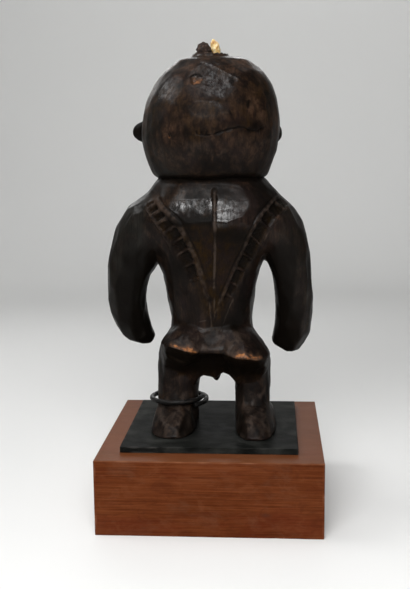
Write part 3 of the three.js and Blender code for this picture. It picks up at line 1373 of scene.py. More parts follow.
LEFT_LADDER = Ladder(
    outer=((55.4, 34.6, 198.4), (50.5, 39.5, 191.9), (45.4, 43.9, 185.1), (40.5, 44.1, 177.5), (35, 41.9, 167.6),
           (30.8, 38.7, 157), (26.4, 36.3, 146.8), (21.7, 33.4, 133.9), (16, 31.7, 120.6), (8.5, 30.1, 105.5)),
    inner=((45.8, 37.8, 205.3), (40, 44.9, 198.6), (33.3, 49.3, 193), (25.6, 52.1, 186.1), (20.6, 49.8, 175.9),
           (16.4, 46.3, 166.3), (11.8, 41.7, 153.5), (8.1, 37.3, 139.7), (4.6, 33.9, 126.2), (0.6, 31, 110)),
    rungs=(0.2, 1, 2, 3, 4, 5, 6, 7),
    depth=2.2, rail=5.2, lip=1.5, rung=2.7, outer_end=4.8, fade=(6.2, 8.2), cell=(1.12, 0.62),
)
RIGHT_LADDER = Ladder(
    outer=((-67, 17.6, 199.5), (-59.8, 33.7, 193.6), (-53.7, 37.5, 186.1), (-47.6, 36, 176.4), (-43.4, 33.7, 166.5),
           (-39, 28.2, 154.8), (-30.5, 28.8, 141.9), (-25.2, 27.9, 129.7), (-20.1, 28.4, 120.4), (-13.8, 28.9, 108.8),
           (-7.4, 29.4, 97.8)),
    inner=((-57.1, 20, 207.6), (-51.1, 35.3, 202.4), (-44.2, 42.9, 195.2), (-39.1, 46.7, 186.9), (-33.9, 45.7, 177.4),
           (-28.4, 42.1, 164.9), (-20.5, 37.3, 147.6), (-15.9, 34.5, 136.7), (-10.5, 32.6, 124.6), (-5.5, 31.1, 113.6),
           (-2.7, 29.8, 99.3)),
    rungs=(0.6, 1.6, 2.6, 4.05, 5.2, 6, 7.1, 8, 9),
    depth=1.9, rail=3.4, lip=1.7, rung=2.3, outer_end=4.4, fade=(7.6, 9.4), cell=(1, 0.68),
)


@dataclass
class CarvedFigure:
    """The standing figure: body and head from one block, met in the fold under the head.

    Attributes:
        body_pitch: Side of the body's squares, in metres.
        head_pitch: Side of the head's squares, in metres.
        spine: The cut down the middle of the back.
        crack: The split across the back of the head.
    """

    body_pitch: float = 0.00162
    head_pitch: float = 0.00125
    spine: Line = ((-3.9, 44.1, 216.1), (-4.1, 49.4, 205.3), (-4.5, 53.5, 190), (-4.5, 52.1, 179.8),
                   (-3.8, 43.3, 157.2), (-2.1, 33.8, 126.6))
    crack: Line = ((11, 60.3, 260.2), (5.5, 60.6, 258.2), (1, 60.5, 258.4), (-6.6, 60.1, 259.7),
                   (-12.4, 59.3, 261.6), (-18.2, 58.1, 263.2), (-24.9, 55.4, 264.9), (-29.7, 53.2, 264.4),
                   (-34.4, 50, 262.1), (-39.3, 46.5, 261.9), (-44.1, 41.8, 263.9), (-47, 38, 266.5))
    finish: OiledWood = field(default_factory=OiledWood)

    def build(self) -> list[bpy.types.Object]:
        """Carves both pieces and dresses them in one wood.

        Returns:
            The body and the head.
        """
        wood = self.finish.make()
        shapes = {"figure_body": self.carve_body, "figure_head": self.carve_head}
        return [new_piece(name, carve(), wood, "figure", "figure") for name, carve in shapes.items()]

    def half(self, lift: float, upper: bool, pitch: float) -> CarvedSurface:
        """One half of the block, split a little beyond the fold.

        Args:
            lift: Height of the plate's top in millimetres.
            upper: Whether it is the head.
            pitch: Side of its squares in metres.

        Returns:
            The surface, ready to carve.
        """
        bm = merged_copy("figure")
        height = (CREASE + (-3.5 if upper else 4.5) + lift) * MM
        cut = bmesh.ops.bisect_plane(
            bm, geom=[*bm.verts, *bm.edges, *bm.faces], dist=1e-7, plane_co=(0, 0, height), plane_no=(0, 0, 1),
            clear_inner=upper, clear_outer=not upper,
        )
        rim = [e for e in cut["geom_cut"] if isinstance(e, bmesh.types.BMEdge)]
        bmesh.ops.holes_fill(bm, edges=rim)
        bmesh.ops.recalc_face_normals(bm, faces=bm.faces)
        return CarvedSurface(even_mesh(bm, pitch), lift)

    def tuck(self, surface: CarvedSurface, upper: bool) -> None:
        """Draws the half's last millimetres inwards, so that the two meet in the bottom of the fold.

        Args:
            surface: The half.
            upper: Whether it is the head.
        """
        start, slope, soft = (CREASE + 1.2, 1.5, 0.8) if upper else (CREASE - 2.6, 0.8, 1.4)
        beyond = (start - surface.place[:, 2]) * (1 if upper else -1)
        pull = slope * over(beyond, soft)
        inward = surface.place[:, :2] - np.array([0, 4])
        away = np.maximum(np.linalg.norm(inward, axis=1), 1e-6)
        pull = np.minimum(pull, 0.5 * away)
        surface.place[:, :2] -= inward / away[:, None] * pull[:, None]

    def carve_body(self) -> bpy.types.Mesh:
        """Carves the trunk, arms and legs.

        Returns:
            The body's mesh.
        """
        surface = self.half(plate_top(), False, self.body_pitch)
        self.rub_down_body(surface)
        x, y, z = surface.place.T
        facing = surface.normals()
        back = (facing[:, 1] > 0.1) & (y > 20)
        band = (np.abs(x + 2) < 26 + (z - 95) * 0.42) & (z > 90) & (z < 210)
        face_of_feet = (z < 24) & (y < -18)
        ledges = (z > 64) & (z < 90) & (y > 26) & (np.abs(x) < 50)
        surface.refine((back & band) | face_of_feet | ledges)
        surface.even_out(4)
        self.level_seat(surface)
        self.arch_crotch(surface)
        self.adze_body(surface)
        self.pare_seat_and_heels(surface)
        self.cut_back(surface)
        self.cut_seat_and_legs(surface)
        self.score_toes(surface)
        surface.sink(0.010 * surface.ripple(2.6, 51) + 0.035 * surface.ripple(6.5, 52))
        self.tuck(surface, False)
        # Painted shade under the head: the body darkens towards the fold.
        fold = smoothstep(surface.place[:, 2] + surface.ripple(16, 53), CREASE - 5, CREASE - 0.6)
        surface.stain(Mark.DARK, 0.9 * fold)
        surface.save_marks()
        return surface.mesh

    def fork(self, surface: CarvedSurface) -> np.ndarray:
        """How near each point is to the fork of the legs, from 0 to 1."""
        return bell(surface.place[:, 2], 51, 13, 4) * bell(surface.place[:, 0], -2, 17, 6)

    def between_ladders(self, surface: CarvedSurface) -> np.ndarray:
        """How far inside the wedge between the two ladders each point lies, from 0 to 1."""
        return bell(surface.place[:, 0], -2, 5 + 0.33 * np.maximum(surface.place[:, 2] - 96, 0), 4)

    def rub_down_body(self, surface: CarvedSurface) -> None:
        """Rubs the sawn facets away, but not the ledges of the seat, the fold or the soles.

        Args:
            surface: The body.
        """
        x, y, z = surface.place.T
        ledge = bell(z, 76, 12, 4) * smoothstep(y, 12, 22)
        feet = falling(z, 16, 30)
        free = 1 - np.clip(np.maximum(np.maximum(0.9 * ledge, 0.93 * self.fork(surface)), 0.72 * feet), 0, 1)
        free *= 1 - 0.9 * bell(z, CREASE - 1.5, 3)
        free *= 1 - 0.9 * falling(z, 1, 4.5)
        surface.even_out(34, free)
        under = bell(z, 49, 8.5, 4) * smoothstep(y, 4, 12) * smoothstep(np.abs(x + 2), 15, 21)
        surface.even_out(60, under, keep_size=False)
        shoulder = smoothstep(np.abs(x), 38, 50) * falling(np.abs(x), 72, 82)
        shoulder *= window(z, 132, 150, 200, 212)
        surface.even_out(16, shoulder, keep_size=False)

    def adze_body(self, surface: CarvedSurface) -> None:
        """Leaves the blade's flats on trunk, arms and legs.

        Args:
            surface: The body.
        """
        x, y, z = surface.place.T
        fold = 1 - bell(z, CREASE, 3)
        arms = smoothstep(np.abs(x), 52, 62) * falling(z, 196, 210)
        legs = falling(z, 66, 82)
        trunk = np.clip(1 - arms - legs, 0, 1) * fold
        Adze(15, (1, 1, 0.42), 0.75, limit=0.8, tilt=2.2, edge=1, seed=11).work(surface, arms)
        shins = legs * smoothstep(z, 2, 7) * (1 - self.fork(surface))
        Adze(13, (1, 1, 0.5), 0.7, limit=0.7, tilt=2.2, edge=0.7, seed=12).work(surface, shins)
        Adze(14, (1, 1, 0.72), 0.65, limit=0.7, tilt=2.4, edge=0.9, seed=13).work(surface, trunk)
        surface.sink(0.16 * surface.ripple(17, 41) * fold)

    def cut_back(self, surface: CarvedSurface) -> None:
        """Cuts the collar, the spine and the two ladders.

        Args:
            surface: The body.
        """
        knots = ((170, 62), (186.5, 55), (205.5, 46.5), (224, 40.5))
        Profile(knots, middle=-2.5, slope=0.05, reach=46).work(surface)
        x, y, z = surface.place.T
        left = x > -3
        low = np.where(left, 194.5 - 0.06 * x, 181.5) + 1.6 * surface.ripple(12, 19)
        polish = window(z, low, low + 7, 203, 207) * falling(np.abs(x + 2), 16, 44)
        near = np.where(left, 1.15, 0.14) + 0.5 * bell(x, -4, 12)
        surface.stain(Mark.GLOSS, polish * near * (0.95 + 0.3 * surface.ripple(14, 18)))
        shade = bell(z, low - 5.5, 6.5) * falling(np.abs(x + 3), 24, 40) * (y > 30)
        surface.stain(Mark.DARK, np.where(left, 0.95, 0.8) * shade)
        back = window(z, 84, 96, low - 4, low + 4) * falling(np.abs(x), 32, 46) * (y > 20)
        back *= 1 - 0.5 * self.between_ladders(surface)
        surface.stain(Mark.DARK, 0.54 * back * (1 + 0.35 * surface.ripple(22, 55)))
        brushed = surface.place * np.array([0.28, 0.28, 1])
        surface.sink(0.03 * ripple(brushed, 4, 54) * window(z, 172, 182, 203, 210) * (y > 30))
        collar = smoothstep(z, 204, 208) * (y > 15)
        surface.stain(Mark.DARK, collar * (0.36 + 0.2 * surface.ripple(18, 20)))
        LEFT_LADDER.work(surface)
        RIGHT_LADDER.work(surface)
        Groove(self.spine, 1, 2.3, {Mark.DUST: 0.95}, wander=0.12, taper=4, square=4).work(surface)
        Groove(self.spine[:2], 0.9, 2.2, {Mark.DARK: 0.9}, wander=0.2, taper=2).work(surface)
        scratches = (
            ((2, 32.8, 121.1), (0.2, 30.1, 93.4)), ((-2.5, 32.7, 122), (-1.7, 29.9, 99.7)),
            ((-19.5, 29.5, 121), (-13, 29.5, 106), (-6.8, 29.4, 88)),
            ((-19, 29.6, 121), (-12.5, 31, 122.5)), ((14, 30, 99), (3, 30, 101)),
        )
        for scratch in scratches:
            Groove(scratch, 0.45, 1.1, {Mark.DUST: 0.75}, wander=0.4).work(surface)
        Patch((2, 33, 112), 15, Mark.DUST, 0.16, (1, 0.4, 0.5)).work(surface)
        Patch((-58, 37.5, 190), 3, Mark.WORN, 0.95).work(surface)

    def cut_seat_and_legs(self, surface: CarvedSurface) -> None:
        """Bares the worn edges of the seat and paints shade under what they overhang, on the legs' inner faces and
        inside the arms, and paints a cool sheen on the arms.

        Args:
            surface: The body.
        """
        edges = (
            (((38, 42.6, 84), (31, 44.8, 81), (24, 45.2, 78.4), (15, 43.8, 75.4), (9, 42, 74)), 3.6, 0.72),
            (((-17, 45, 73), (-24, 46, 72.6), (-31, 45.6, 71.6), (-38, 43.6, 70.6), (-45, 39, 70.4)), 4.6, 0.28),
        )
        for line, wide, peak in edges:
            nearby, away, along, length = surface.beside(line, 9)
            ends = window(along, -1, 5, length - 6, length + 1)
            share = along / length
            thick = wide * (0.6 + 0.45 * bell(share, peak, 0.3) + 0.22 * surface.ripple(7, 23, nearby))
            bare = 0.72 + 0.26 * bell(share, peak, 0.25) + 0.10 * surface.ripple(4, 24, nearby)
            rubbed = bare * bell(away, 0, np.maximum(thick, 0.8)) * ends
            surface.stain(Mark.WORN, surface.spread(nearby, rubbed))
        x, y, z = surface.place.T
        facing = surface.normals()
        # Painted shade under the ledges of the seat, on the legs' inner faces and inside the arms, tinted olive under
        # the seat.
        under = smoothstep(-facing[:, 2], 0.1, 0.45) * smoothstep(z, 44, 56) * (z < 84) * (y > 8)
        inner = smoothstep(-facing[:, 0] * np.sign(x), 0.2, 0.8) * (z < 66)
        turned_in = -facing[:, 0] * np.sign(x) + 0.12 * surface.ripple(20, 25)
        armpit = smoothstep(turned_in, -0.7, 0.05) * (np.abs(x) > 46) * falling(z, 150, 182)
        surface.stain(Mark.DARK, np.maximum(np.maximum(0.78 * under, 0.6 * inner), 0.88 * armpit))
        surface.stain(Mark.WARM, 0.9 * under)
        between = self.between_ladders(surface) * smoothstep(z, 88, 100)
        surface.stain(Mark.WARM, between * falling(z, 180, 190) * (y > 10))
        worn_back = smoothstep(y, 4, 14) * window(z, 60, 76, 150, 184) * (np.abs(x) < 50)
        lit = smoothstep(facing[:, 2], -0.25, 0.1)
        shelf = bell(z, 80, 13, 4) * bell(x, -10, 26, 4)
        thin = 0.13 + 0.3 * shelf + 0.12 * surface.ripple(12, 21)
        surface.stain(Mark.DUST, worn_back * (1 - 0.8 * between) * lit * thin)
        shins = falling(z, 24, 52) * smoothstep(y, 2, 16)
        surface.stain(Mark.DUST, 0.36 * shins * (1 + 0.5 * surface.ripple(9, 22)))
        # Painted sheen: a cool grey reflection on the outer arms, stronger on the left.
        surface.stain(Mark.COOL, 0.9 * smoothstep(x, 50, 60))
        surface.stain(Mark.COOL, 0.45 * falling(x, -64, -54))
        for centre, radius, strength in (
            ((24, 41.5, 84), 7, 0.3), ((-28.9, 41.2, 78.6), 2.2, 1), ((-38, 52, 9), 5, 0.08),
            ((60, 10, 196), 16, 0.3),
        ):
            Patch(centre, radius, Mark.GLOSS, strength).work(surface)

    def level_seat(self, surface: CarvedSurface) -> None:
        """Brings the hollow between the two halves of the seat out to one shelf.

        Args:
            surface: The body.
        """
        x, y, z = surface.place.T
        heights = (62, 66, 69, 71.5, 73, 76, 80, 85, 90, 96)
        depths = (27, 29.5, 32.5, 37, 39.8, 40.6, 38.4, 35, 32, 30)
        shelf = np.interp(z, heights, depths)
        within = falling(np.abs(x + 1), 15, 22) * window(z, 62, 66, 92, 97) * (y > 18)
        surface.place[:, 1] += over(shelf - y, 0.4) * within
        surface.even_out(3, within)

    def arch_crotch(self, surface: CarvedSurface) -> None:
        """Gives the fork of the legs its uneven arch, with the short stub hanging in it.

        Args:
            surface: The body.
        """
        x, y, z = surface.place.T
        knots = (-23, -20, -17.5, -13, -8.5, -5.5, -2, 1, 4, 9, 12, 15, 18)
        drops = (-6.5, -5.5, -2, 1.2, 2.8, 0.4, -2.6, -1.4, -0.6, 0.2, -1.4, -5, -6.5)
        within = window(z, 37, 44, 50, 64) * falling(np.abs(x + 2.5), 18, 24)
        surface.place[:, 2] += np.interp(x, knots, drops) * within

    def pare_seat_and_heels(self, surface: CarvedSurface) -> None:
        """Pares the crisp flats of the seat's ledges and of the heels.

        Args:
            surface: The body.
        """
        for through, facing, reach in (
            ((25, 46, 77.4), (0.27, 0.68, -0.74), 21), ((24, 43.4, 81.2), (-0.10, 0.78, 0.62), 13),
            ((38, 41.2, 84.4), (0.30, 0.80, 0.52), 11), ((-30, 46.4, 69.6), (0, 0.68, -0.74), 21),
            ((-24, 44.6, 74.6), (0.16, 0.80, 0.58), 11), ((-39, 42.2, 74), (-0.32, 0.76, 0.56), 12),
        ):
            FlatCut(through, facing, reach, edge=0.12).work(surface)
        for heel, pared in (
            ((36, 34, 11), (((0.02, 0.80, 0.50), 1.2), ((0.62, 0.62, 0.40), 2.6), ((-0.74, 0.52, 0.34), 2.8))),
            ((-37, 36, 11), (((0.10, 0.80, 0.52), 1.2), ((0.80, 0.45, 0.30), 2.4), ((-0.66, 0.60, 0.40), 2.6))),
        ):
            for facing, depth in pared:
                Facet(heel, (24, 24, 13), facing, depth).work(surface)

    def score_toes(self, surface: CarvedSurface) -> None:
        """Scores the toes plainly on the hidden side.

        Args:
            surface: The body.
        """
        for side, first, last in ((Side.LEFT, 19, 52), (Side.RIGHT, 23.5, 51.5)):
            for k in range(1, 5):
                x = side.value * (first + (last - first) * k / 5)
                line = ((x, -47.5, 1.5), (x, -46, 7), (x, -38, 11.5), (x, -28, 14))
                Groove(line, 1.1, 1.7, {Mark.DARK: 0.6}, wander=0.1, taper=4).work(surface)

    def carve_head(self) -> bpy.types.Mesh:
        """Carves the head and its face, and keeps the rim of the hollow in the crown crisp.

        Returns:
            The head's mesh.
        """
        surface = self.half(plate_top(), True, self.head_pitch)
        x, y, z = surface.place.T
        crown = smoothstep(z, 317, 321) * falling(np.hypot(x - 1, y - 2), 18, 24)
        face = smoothstep(-y, 44, 52) * window(z, 222, 230, 290, 300)
        surface.even_out(36, (1 - 0.9 * crown) * (1 - 0.55 * face) * (1 - 0.9 * bell(z, CREASE, 2.5)))
        x, y, z = surface.place.T
        split = (y > 28) & (z > 252) & (z < 273) & (x < 38) & (x > -52)
        knot = surface.away((9.6, 45, 304.5)) < 14
        face = (y < -44) & (z > 226) & (z < 292)
        surface.refine(split | knot | face)
        surface.even_out(3)
        self.adze_head(surface)
        self.cut_split(surface)
        self.mottle(surface)
        self.cut_face(surface)
        surface.sink(0.02 * surface.ripple(3.4, 61) + 0.06 * surface.ripple(9, 62))
        self.tuck(surface, True)
        # Painted shade: the head darkens towards the fold along its underside.
        fold = falling(surface.place[:, 2], CREASE - 0.5, CREASE + 7)
        surface.stain(Mark.DARK, 0.9 * fold)
        surface.save_marks()
        return surface.mesh

    def adze_head(self, surface: CarvedSurface) -> None:
        """Leaves broad flats over the skull, and the one large flat behind the crown.

        Args:
            surface: The head.
        """
        x, y, z = surface.place.T
        crown = smoothstep(z, 314, 319) * falling(np.hypot(x - 1, y - 2), 17, 24)
        skull = (1 - crown) * (1 - bell(z, CREASE, 3)) * smoothstep(y, -44, -30)
        Adze(23, strength=0.42, limit=0.7, tilt=1.4, edge=2.2, seed=21).work(surface, skull)
        FlatCut((-3, 44.1, 301), (-0.075, 0.757, 0.65), reach=36, edge=0.5).work(surface)
        lens = bell(surface.away((-2, 45, 301)), 0, 24, 4)
        surface.sink(lens * (0.06 * surface.ripple(13, 65) + 0.02 * surface.ripple(5, 66)))
        for centre, facing, depth in (
            ((-22, 43, 300), (-0.40, 0.70, 0.59), 0.9), ((-3, 57, 284), (-0.04, 0.95, 0.31), 0.7),
            ((27, 41, 299), (0.44, 0.71, 0.55), 0.9), ((-36, 42, 284), (-0.62, 0.72, 0.31), 0.8),
            ((38, 42, 282), (0.63, 0.72, 0.29), 0.8), ((20, 30, 313), (0.34, 0.50, 0.80), 0.7),
            ((-20, 27, 315), (-0.34, 0.44, 0.83), 0.7), ((22, 56, 272), (0.34, 0.93, 0.13), 0.6),
        ):
            Facet(centre, (22, 22, 22), facing, depth).work(surface)
        Patch((-7, 45, 301.5), 15, Mark.GLOSS, 0.72).work(surface)
        Patch((-11, 53, 291), 4.2, Mark.GLOSS, 1).work(surface)
        rim = ((12, 26.5, 319.4), (4.8, 28.5, 318.4), (-1.4, 31.4, 316.5), (-7.5, 34.4, 314), (-13.6, 37, 310.6),
               (-19.5, 38.6, 307.6), (-25, 39.3, 304.6), (-21.7, 43, 301.6))
        Groove(rim, -0.35, 2.4, {Mark.GLOSS: 0.95}, wander=0.3, taper=6).work(surface)

    def cut_split(self, surface: CarvedSurface) -> None:
        """Opens the split across the back of the head, its nicks, and the knot hole.

        Args:
            surface: The head.
        """
        for line, depth, width, dark, wander, taper in (
            (self.crack, 1.2, 1, 1, 0.6, 5), (self.crack[7:12], 0.5, 4.4, 0.75, 0.8, 5),
            (self.crack[2:7], 0.2, 2.8, 0.6, 0.9, 6),
        ):
            Groove(line, depth, width, {Mark.DARK: dark}, wander, taper).work(surface)
        nicks = (
            ((9.8, 60.5, 262.5), (8.8, 60.5, 258.5)), ((5.6, 60.8, 262.6), (4.8, 60.8, 258)),
            ((0.8, 60.7, 263), (1.4, 60.6, 257.6)),
            ((32.8, 53.5, 261), (31.6, 53.2, 256.5)), ((-33.5, 46.5, 288), (-32.5, 50.5, 279)),
        )
        for nick in nicks:
            Groove(nick, 0.9, 1.5, {Mark.DARK: 0.95}, wander=0.3, taper=1.4).work(surface)
        rubbed = {Mark.WORN: 0.66, Mark.DUST: 0.3}
        Pit((9.8, 44.6, 304.3), 4.6, 5.4, depth=0.95, ragged=0.12, marks=rubbed).work(surface)
        rim = ((4.2, 43.6, 306.6), (7.4, 40.6, 309.4), (12.2, 40.2, 309), (15.2, 43, 305.4))
        Groove(rim, 0.35, 1.5, {Mark.DARK: 0.95}, wander=0.3, taper=2.5).work(surface)
        streak = ((4.6, 48.2, 300.2), (-3, 47.6, 301.2), (-9, 46, 302.6), (-14.5, 45.5, 302))
        Groove(streak, 0.12, 1.3, {Mark.DARK: 0.6}, wander=0.4, taper=4).work(surface)

    def mottle(self, surface: CarvedSurface) -> None:
        """Rubs the head brown in places and leaves it dark in others and at its far sides; paints shade low on the
        head, a cool sheen on its upper left and a lighter crown where light falls from above.

        Args:
            surface: The head.
        """
        rubbed = (
            ((-37, 46, 282), 12, 0.62), ((-42.5, 43, 274), 9, 0.6), ((-16, 52, 281), 13, 0.42),
            ((30.5, 45.4, 293.7), 9, 0.42), ((32, 53.7, 262), 12, 0.5), ((9, 59.3, 276), 13, 0.36),
            ((24, 38, 305.5), 8, 0.5), ((-12.4, 59, 255), 12, 0.42), ((-25, 24.4, 316.6), 10, 0.5),
            ((5.5, 17.9, 325), 10, 0.45), ((16, 47, 303.5), 7, 0.6), ((-24, 54, 270), 9, 0.4),
        )
        for centre, radius, strength in rubbed:
            Patch(centre, 1.15 * radius, Mark.WORN, 0.72 * strength).work(surface)
        surface.stain(Mark.WORN, 0.20 + 0.08 * surface.ripple(30, 64))
        # The last two dark patches, just above the fold, are painted shade low on the head.
        dark = (
            ((-38.3, 47.5, 265.5), 5.5, 0.8), ((-27.8, 54.2, 266.5), 6, 0.5), ((27.2, 55.8, 271), 4.5, 0.5),
            ((18.3, 59.4, 260.5), 5, 0.5), ((-11.5, 57.3, 283.1), 7, 0.4), ((26.7, 43.2, 228.2), 9, 0.5),
            ((-30, 40, 230), 12, 0.4),
        )
        for centre, radius, strength in dark:
            Patch(centre, radius, Mark.DARK, strength).work(surface)
        Patch((32, 53.6, 257.6), 2, Mark.WORN, 0.8).work(surface)
        x, _, z = surface.place.T
        surface.stain(Mark.DARK, 0.9 * smoothstep(np.abs(x), 57, 61) * (z > 245))
        # Painted shade: the head darkens towards its underside.
        surface.stain(Mark.DARK, 0.4 * falling(z, 232, 252))
        surface.stain(Mark.WARM, 0.8 * np.clip(surface.ripple(46, 63), 0, 1))
        # Painted sheen: a cool grey reflection on the head's upper left.
        surface.stain(Mark.COOL, 0.8 * smoothstep(x - 0.25 * (z - 260), 24, 46))
        sheen = smoothstep(x, 16, 36) * smoothstep(z, 262, 290)
        surface.stain(Mark.GLOSS, 0.12 * sheen * (1 + 0.3 * surface.ripple(11, 68)))
        # Painted light: the crown is laid lighter where the top light falls.
        surface.stain(Mark.WORN, 0.34 * smoothstep(z, 302, 316) * (1 + 0.4 * surface.ripple(14, 67)))
        surface.stain(Mark.GLOSS, 0.24 * smoothstep(z, 304, 314) * (1 + 0.4 * surface.ripple(9, 69)))

    def cut_face(self, surface: CarvedSurface) -> None:
        """Cuts plain features on the hidden side: lids, pupils, nostrils and the hollows of the ears.

        Args:
            surface: The head.
        """
        turn = math.radians(7)
        cosine, sine = math.cos(turn), math.sin(turn)

        def turned(x: float, y: float, z: float) -> Point:
            """A place on the face, turned with the head."""
            return (x * cosine - y * sine, x * sine + y * cosine, z)

        outline = [(10.2 * math.cos(a), 7.6 * math.sin(a)) for a in np.linspace(0, 2 * math.pi, 25)]
        for side in (s.value for s in Side):
            lid = tuple(turned(side * 20 + across, -52, 267 + up) for across, up in outline)
            Groove(lid, 0.7, 1.2, {Mark.DARK: 0.6}, wander=0.1, taper=0.2).work(surface)
            for centre, wide, high, depth, ragged, dark in (
                ((side * 20, -53.5, 267), 2.6, 2.6, 1.2, 0.05, 0.9),
                ((side * 6.5, -72, 254), 2.2, 2.8, 2, 0.1, 0.9),
                ((side * 57, -16, 262), 4, 6.5, 2.6, 0.1, 0.6),
            ):
                Pit(turned(*centre), wide, high, depth, ragged, {Mark.DARK: dark}).work(surface)


# -------- the ring, the crown's fill and chip


@dataclass
class Anklet:
    """The iron ring round the left leg: a wire bent in an open spiral whose ends lap.

    Attributes:
        centre: Middle of the ring, in millimetres above the plate.
        radius: Middle radius of the spiral.
        wire: Radius of the wire.
        start: Angle of the inner end in degrees.
        turn: How far it goes round in degrees.
        spread: How much the radius grows from end to end.
        drop: How much it sinks from end to end.
        steps: Rings of points along the wire.
        sides: Points round the wire.
    """

    centre: Point = (32.4, 7, 26)
    radius: float = 23.8
    wire: float = 2.1
    start: float = 175
    turn: float = 406
    spread: float = 4.4
    drop: float = 3.4
    steps: int = 230
    sides: int = 22
    finish: ForgedIron = field(default_factory=ForgedIron)

    def post(self, share: float) -> Matrix:
        """The wire's section at a share of its length.

        Args:
            share: From 0 at the inner end to 1 at the outer end.

        Returns:
            A placement whose Z runs along the wire, in metres.
        """
        angle = math.radians(self.start - self.turn * share)
        radius = self.radius + self.spread * (share - 0.5)
        height = plate_top() + self.centre[2] - self.drop * (share - 0.5)
        outward = Vector((math.cos(angle), math.sin(angle), 0))
        spot = Vector((self.centre[0], self.centre[1], 0)) + outward * radius
        spot.z = height
        along = Vector((math.sin(angle), -math.cos(angle), 0))
        post = Matrix((outward, Vector((0, 0, 1)), along)).transposed()
        if post.determinant() < 0:
            post = Matrix((outward, Vector((0, 0, -1)), along)).transposed()
        return Matrix.Translation(spot * MM) @ post.to_4x4()

    def build(self) -> bpy.types.Object:
        """Sweeps, hammers and closes the wire.

        Returns:
            The ring.
        """
        bm = bmesh.new()
        ring = bmesh.ops.create_circle(bm, segments=self.sides, radius=self.wire * MM, cap_ends=False)["verts"]
        here = self.post(0)
        bmesh.ops.transform(bm, matrix=here, verts=ring)
        edges = list(bm.edges)
        for step in range(1, self.steps + 1):
            there = self.post(step / self.steps)
            edges, points = pull_out(bm, edges)
            bmesh.ops.transform(bm, matrix=there @ here.inverted(), verts=points)
            here = there
        caps = bmesh.ops.holes_fill(bm, edges=[e for e in bm.edges if e.is_boundary])["faces"]
        rims = list({e for face in caps for e in face.edges})
        bmesh.ops.bevel(bm, geom=rims, offset=0.7 * MM, segments=4, profile=0.5, affect="EDGES", material=-1)
        bmesh.ops.recalc_face_normals(bm, faces=bm.faces)
        mesh = as_mesh(bm, "anklet_ring")
        surface = CarvedSurface(mesh, plate_top())
        dents = 0.13 * surface.ripple(11, 71) + 0.10 * surface.ripple(4.5, 72)
        surface.sink(dents - 0.03)
        surface.stain(Mark.WORN, smoothstep(surface.normals()[:, 2], 0.2, 0.95) * smoothstep(-dents, -0.05, 0.2))
        surface.save_marks()
        return new_piece("anklet_ring", mesh, self.finish.make(), "anklet", "anklet")


@dataclass
class CrownFill:
    """The brown crumbly fill in the hollow of the crown.

    Attributes:
        pitch: Side of its squares, in metres.
    """

    pitch: float = 0.00042
    finish: CrumbledResin = field(default_factory=CrumbledResin)

    def build(self) -> bpy.types.Object:
        """Breaks the lump's surface up.

        Returns:
            The fill.
        """
        surface = CarvedSurface(even_mesh(merged_copy("crown_fill"), self.pitch), plate_top())
        surface.even_out(10, keep_size=False)
        z = surface.place[:, 2]
        surface.place[:, 0] -= smoothstep(z, 325, 329)
        surface.sink(0.45 * surface.ripple(6.5, 84) * smoothstep(z, 324, 327))
        crumbling = Adze(3, strength=0.95, limit=0.8, tilt=18, edge=0.14, seed=81)
        crumbling.work(surface, np.ones(len(surface.place)))
        surface.sink(0.24 * surface.ripple(3.4, 82) + 0.11 * surface.ripple(1.4, 83))
        surface.save_marks()
        return new_piece("crown_lump", surface.mesh, self.finish.make(), "crown_fill", "crown_fill")


@dataclass
class CrownChip:
    """The pale chip that stands in the fill.

    Attributes:
        pitch: Side of its squares, in metres.
    """

    pitch: float = 0.0003
    finish: PaleResin = field(default_factory=PaleResin)

    def build(self) -> bpy.types.Object:
        """Gives the chip its broken faces.

        Returns:
            The chip.
        """
        surface = CarvedSurface(even_mesh(merged_copy("crown_chip"), self.pitch), plate_top())
        surface.even_out(14, keep_size=False)
        surface.place[:, 0] += 0.5
        breaking = Adze(3.4, (1, 1, 0.6), strength=1, limit=0.7, tilt=8, edge=0.12, seed=91)
        breaking.work(surface, np.ones(len(surface.place)))
        surface.sink(0.06 * surface.ripple(2.2, 92) + 0.03 * surface.ripple(0.9, 93))
        surface.save_marks()
        return new_piece("crown_shard", surface.mesh, self.finish.make(), "crown_chip", "crown_chip")


# -------- the mount


@dataclass
class Block:
    """A squared block with softened edges, the plate or the plinth.

    Attributes:
        node: The CAD node it stands for.
        edge: Rounding of its edges, in metres.
        cuts: Cuts across each side, so that its faces can be a little uneven.
        uneven: How uneven its faces are, in millimetres.
        knocks: How deep the knocks in its edges go, in millimetres.
        seed: Chooses the unevenness.
    """

    node: str
    edge: float
    cuts: int
    uneven: float
    knocks: float
    seed: int

    def shape(self) -> CarvedSurface:
        """Squares, softens and wears the block.

        Returns:
            Its surface.
        """
        low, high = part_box(self.node)
        bm = bmesh.new()
        bmesh.ops.create_cube(bm, size=1.0)
        bmesh.ops.scale(bm, vec=high - low, verts=bm.verts)
        bmesh.ops.translate(bm, vec=(high + low) / 2, verts=bm.verts)
        bmesh.ops.subdivide_edges(bm, edges=bm.edges, cuts=self.cuts, use_grid_fill=True)
        sharp = [e for e in bm.edges if e.calc_face_angle() > 1]
        bmesh.ops.bevel(bm, geom=sharp, offset=self.edge, segments=4, profile=0.5, affect="EDGES", material=-1)
        bmesh.ops.recalc_face_normals(bm, faces=bm.faces)
        surface = CarvedSurface(as_mesh(bm, self.node), 0)
        inside = np.sort(np.minimum(surface.place - np.array(low) / MM, np.array(high) / MM - surface.place), axis=1)
        rim = bell(inside[:, 1], 0, 1.3)
        knocks = smoothstep(surface.ripple(26, self.seed), 1.25, 2.2) * self.knocks
        surface.sink(np.abs(surface.ripple(60, self.seed + 1)) * self.uneven + rim * knocks)
        surface.stain(Mark.WORN, rim * (0.45 + 0.4 * surface.ripple(14, self.seed + 2)))
        return surface


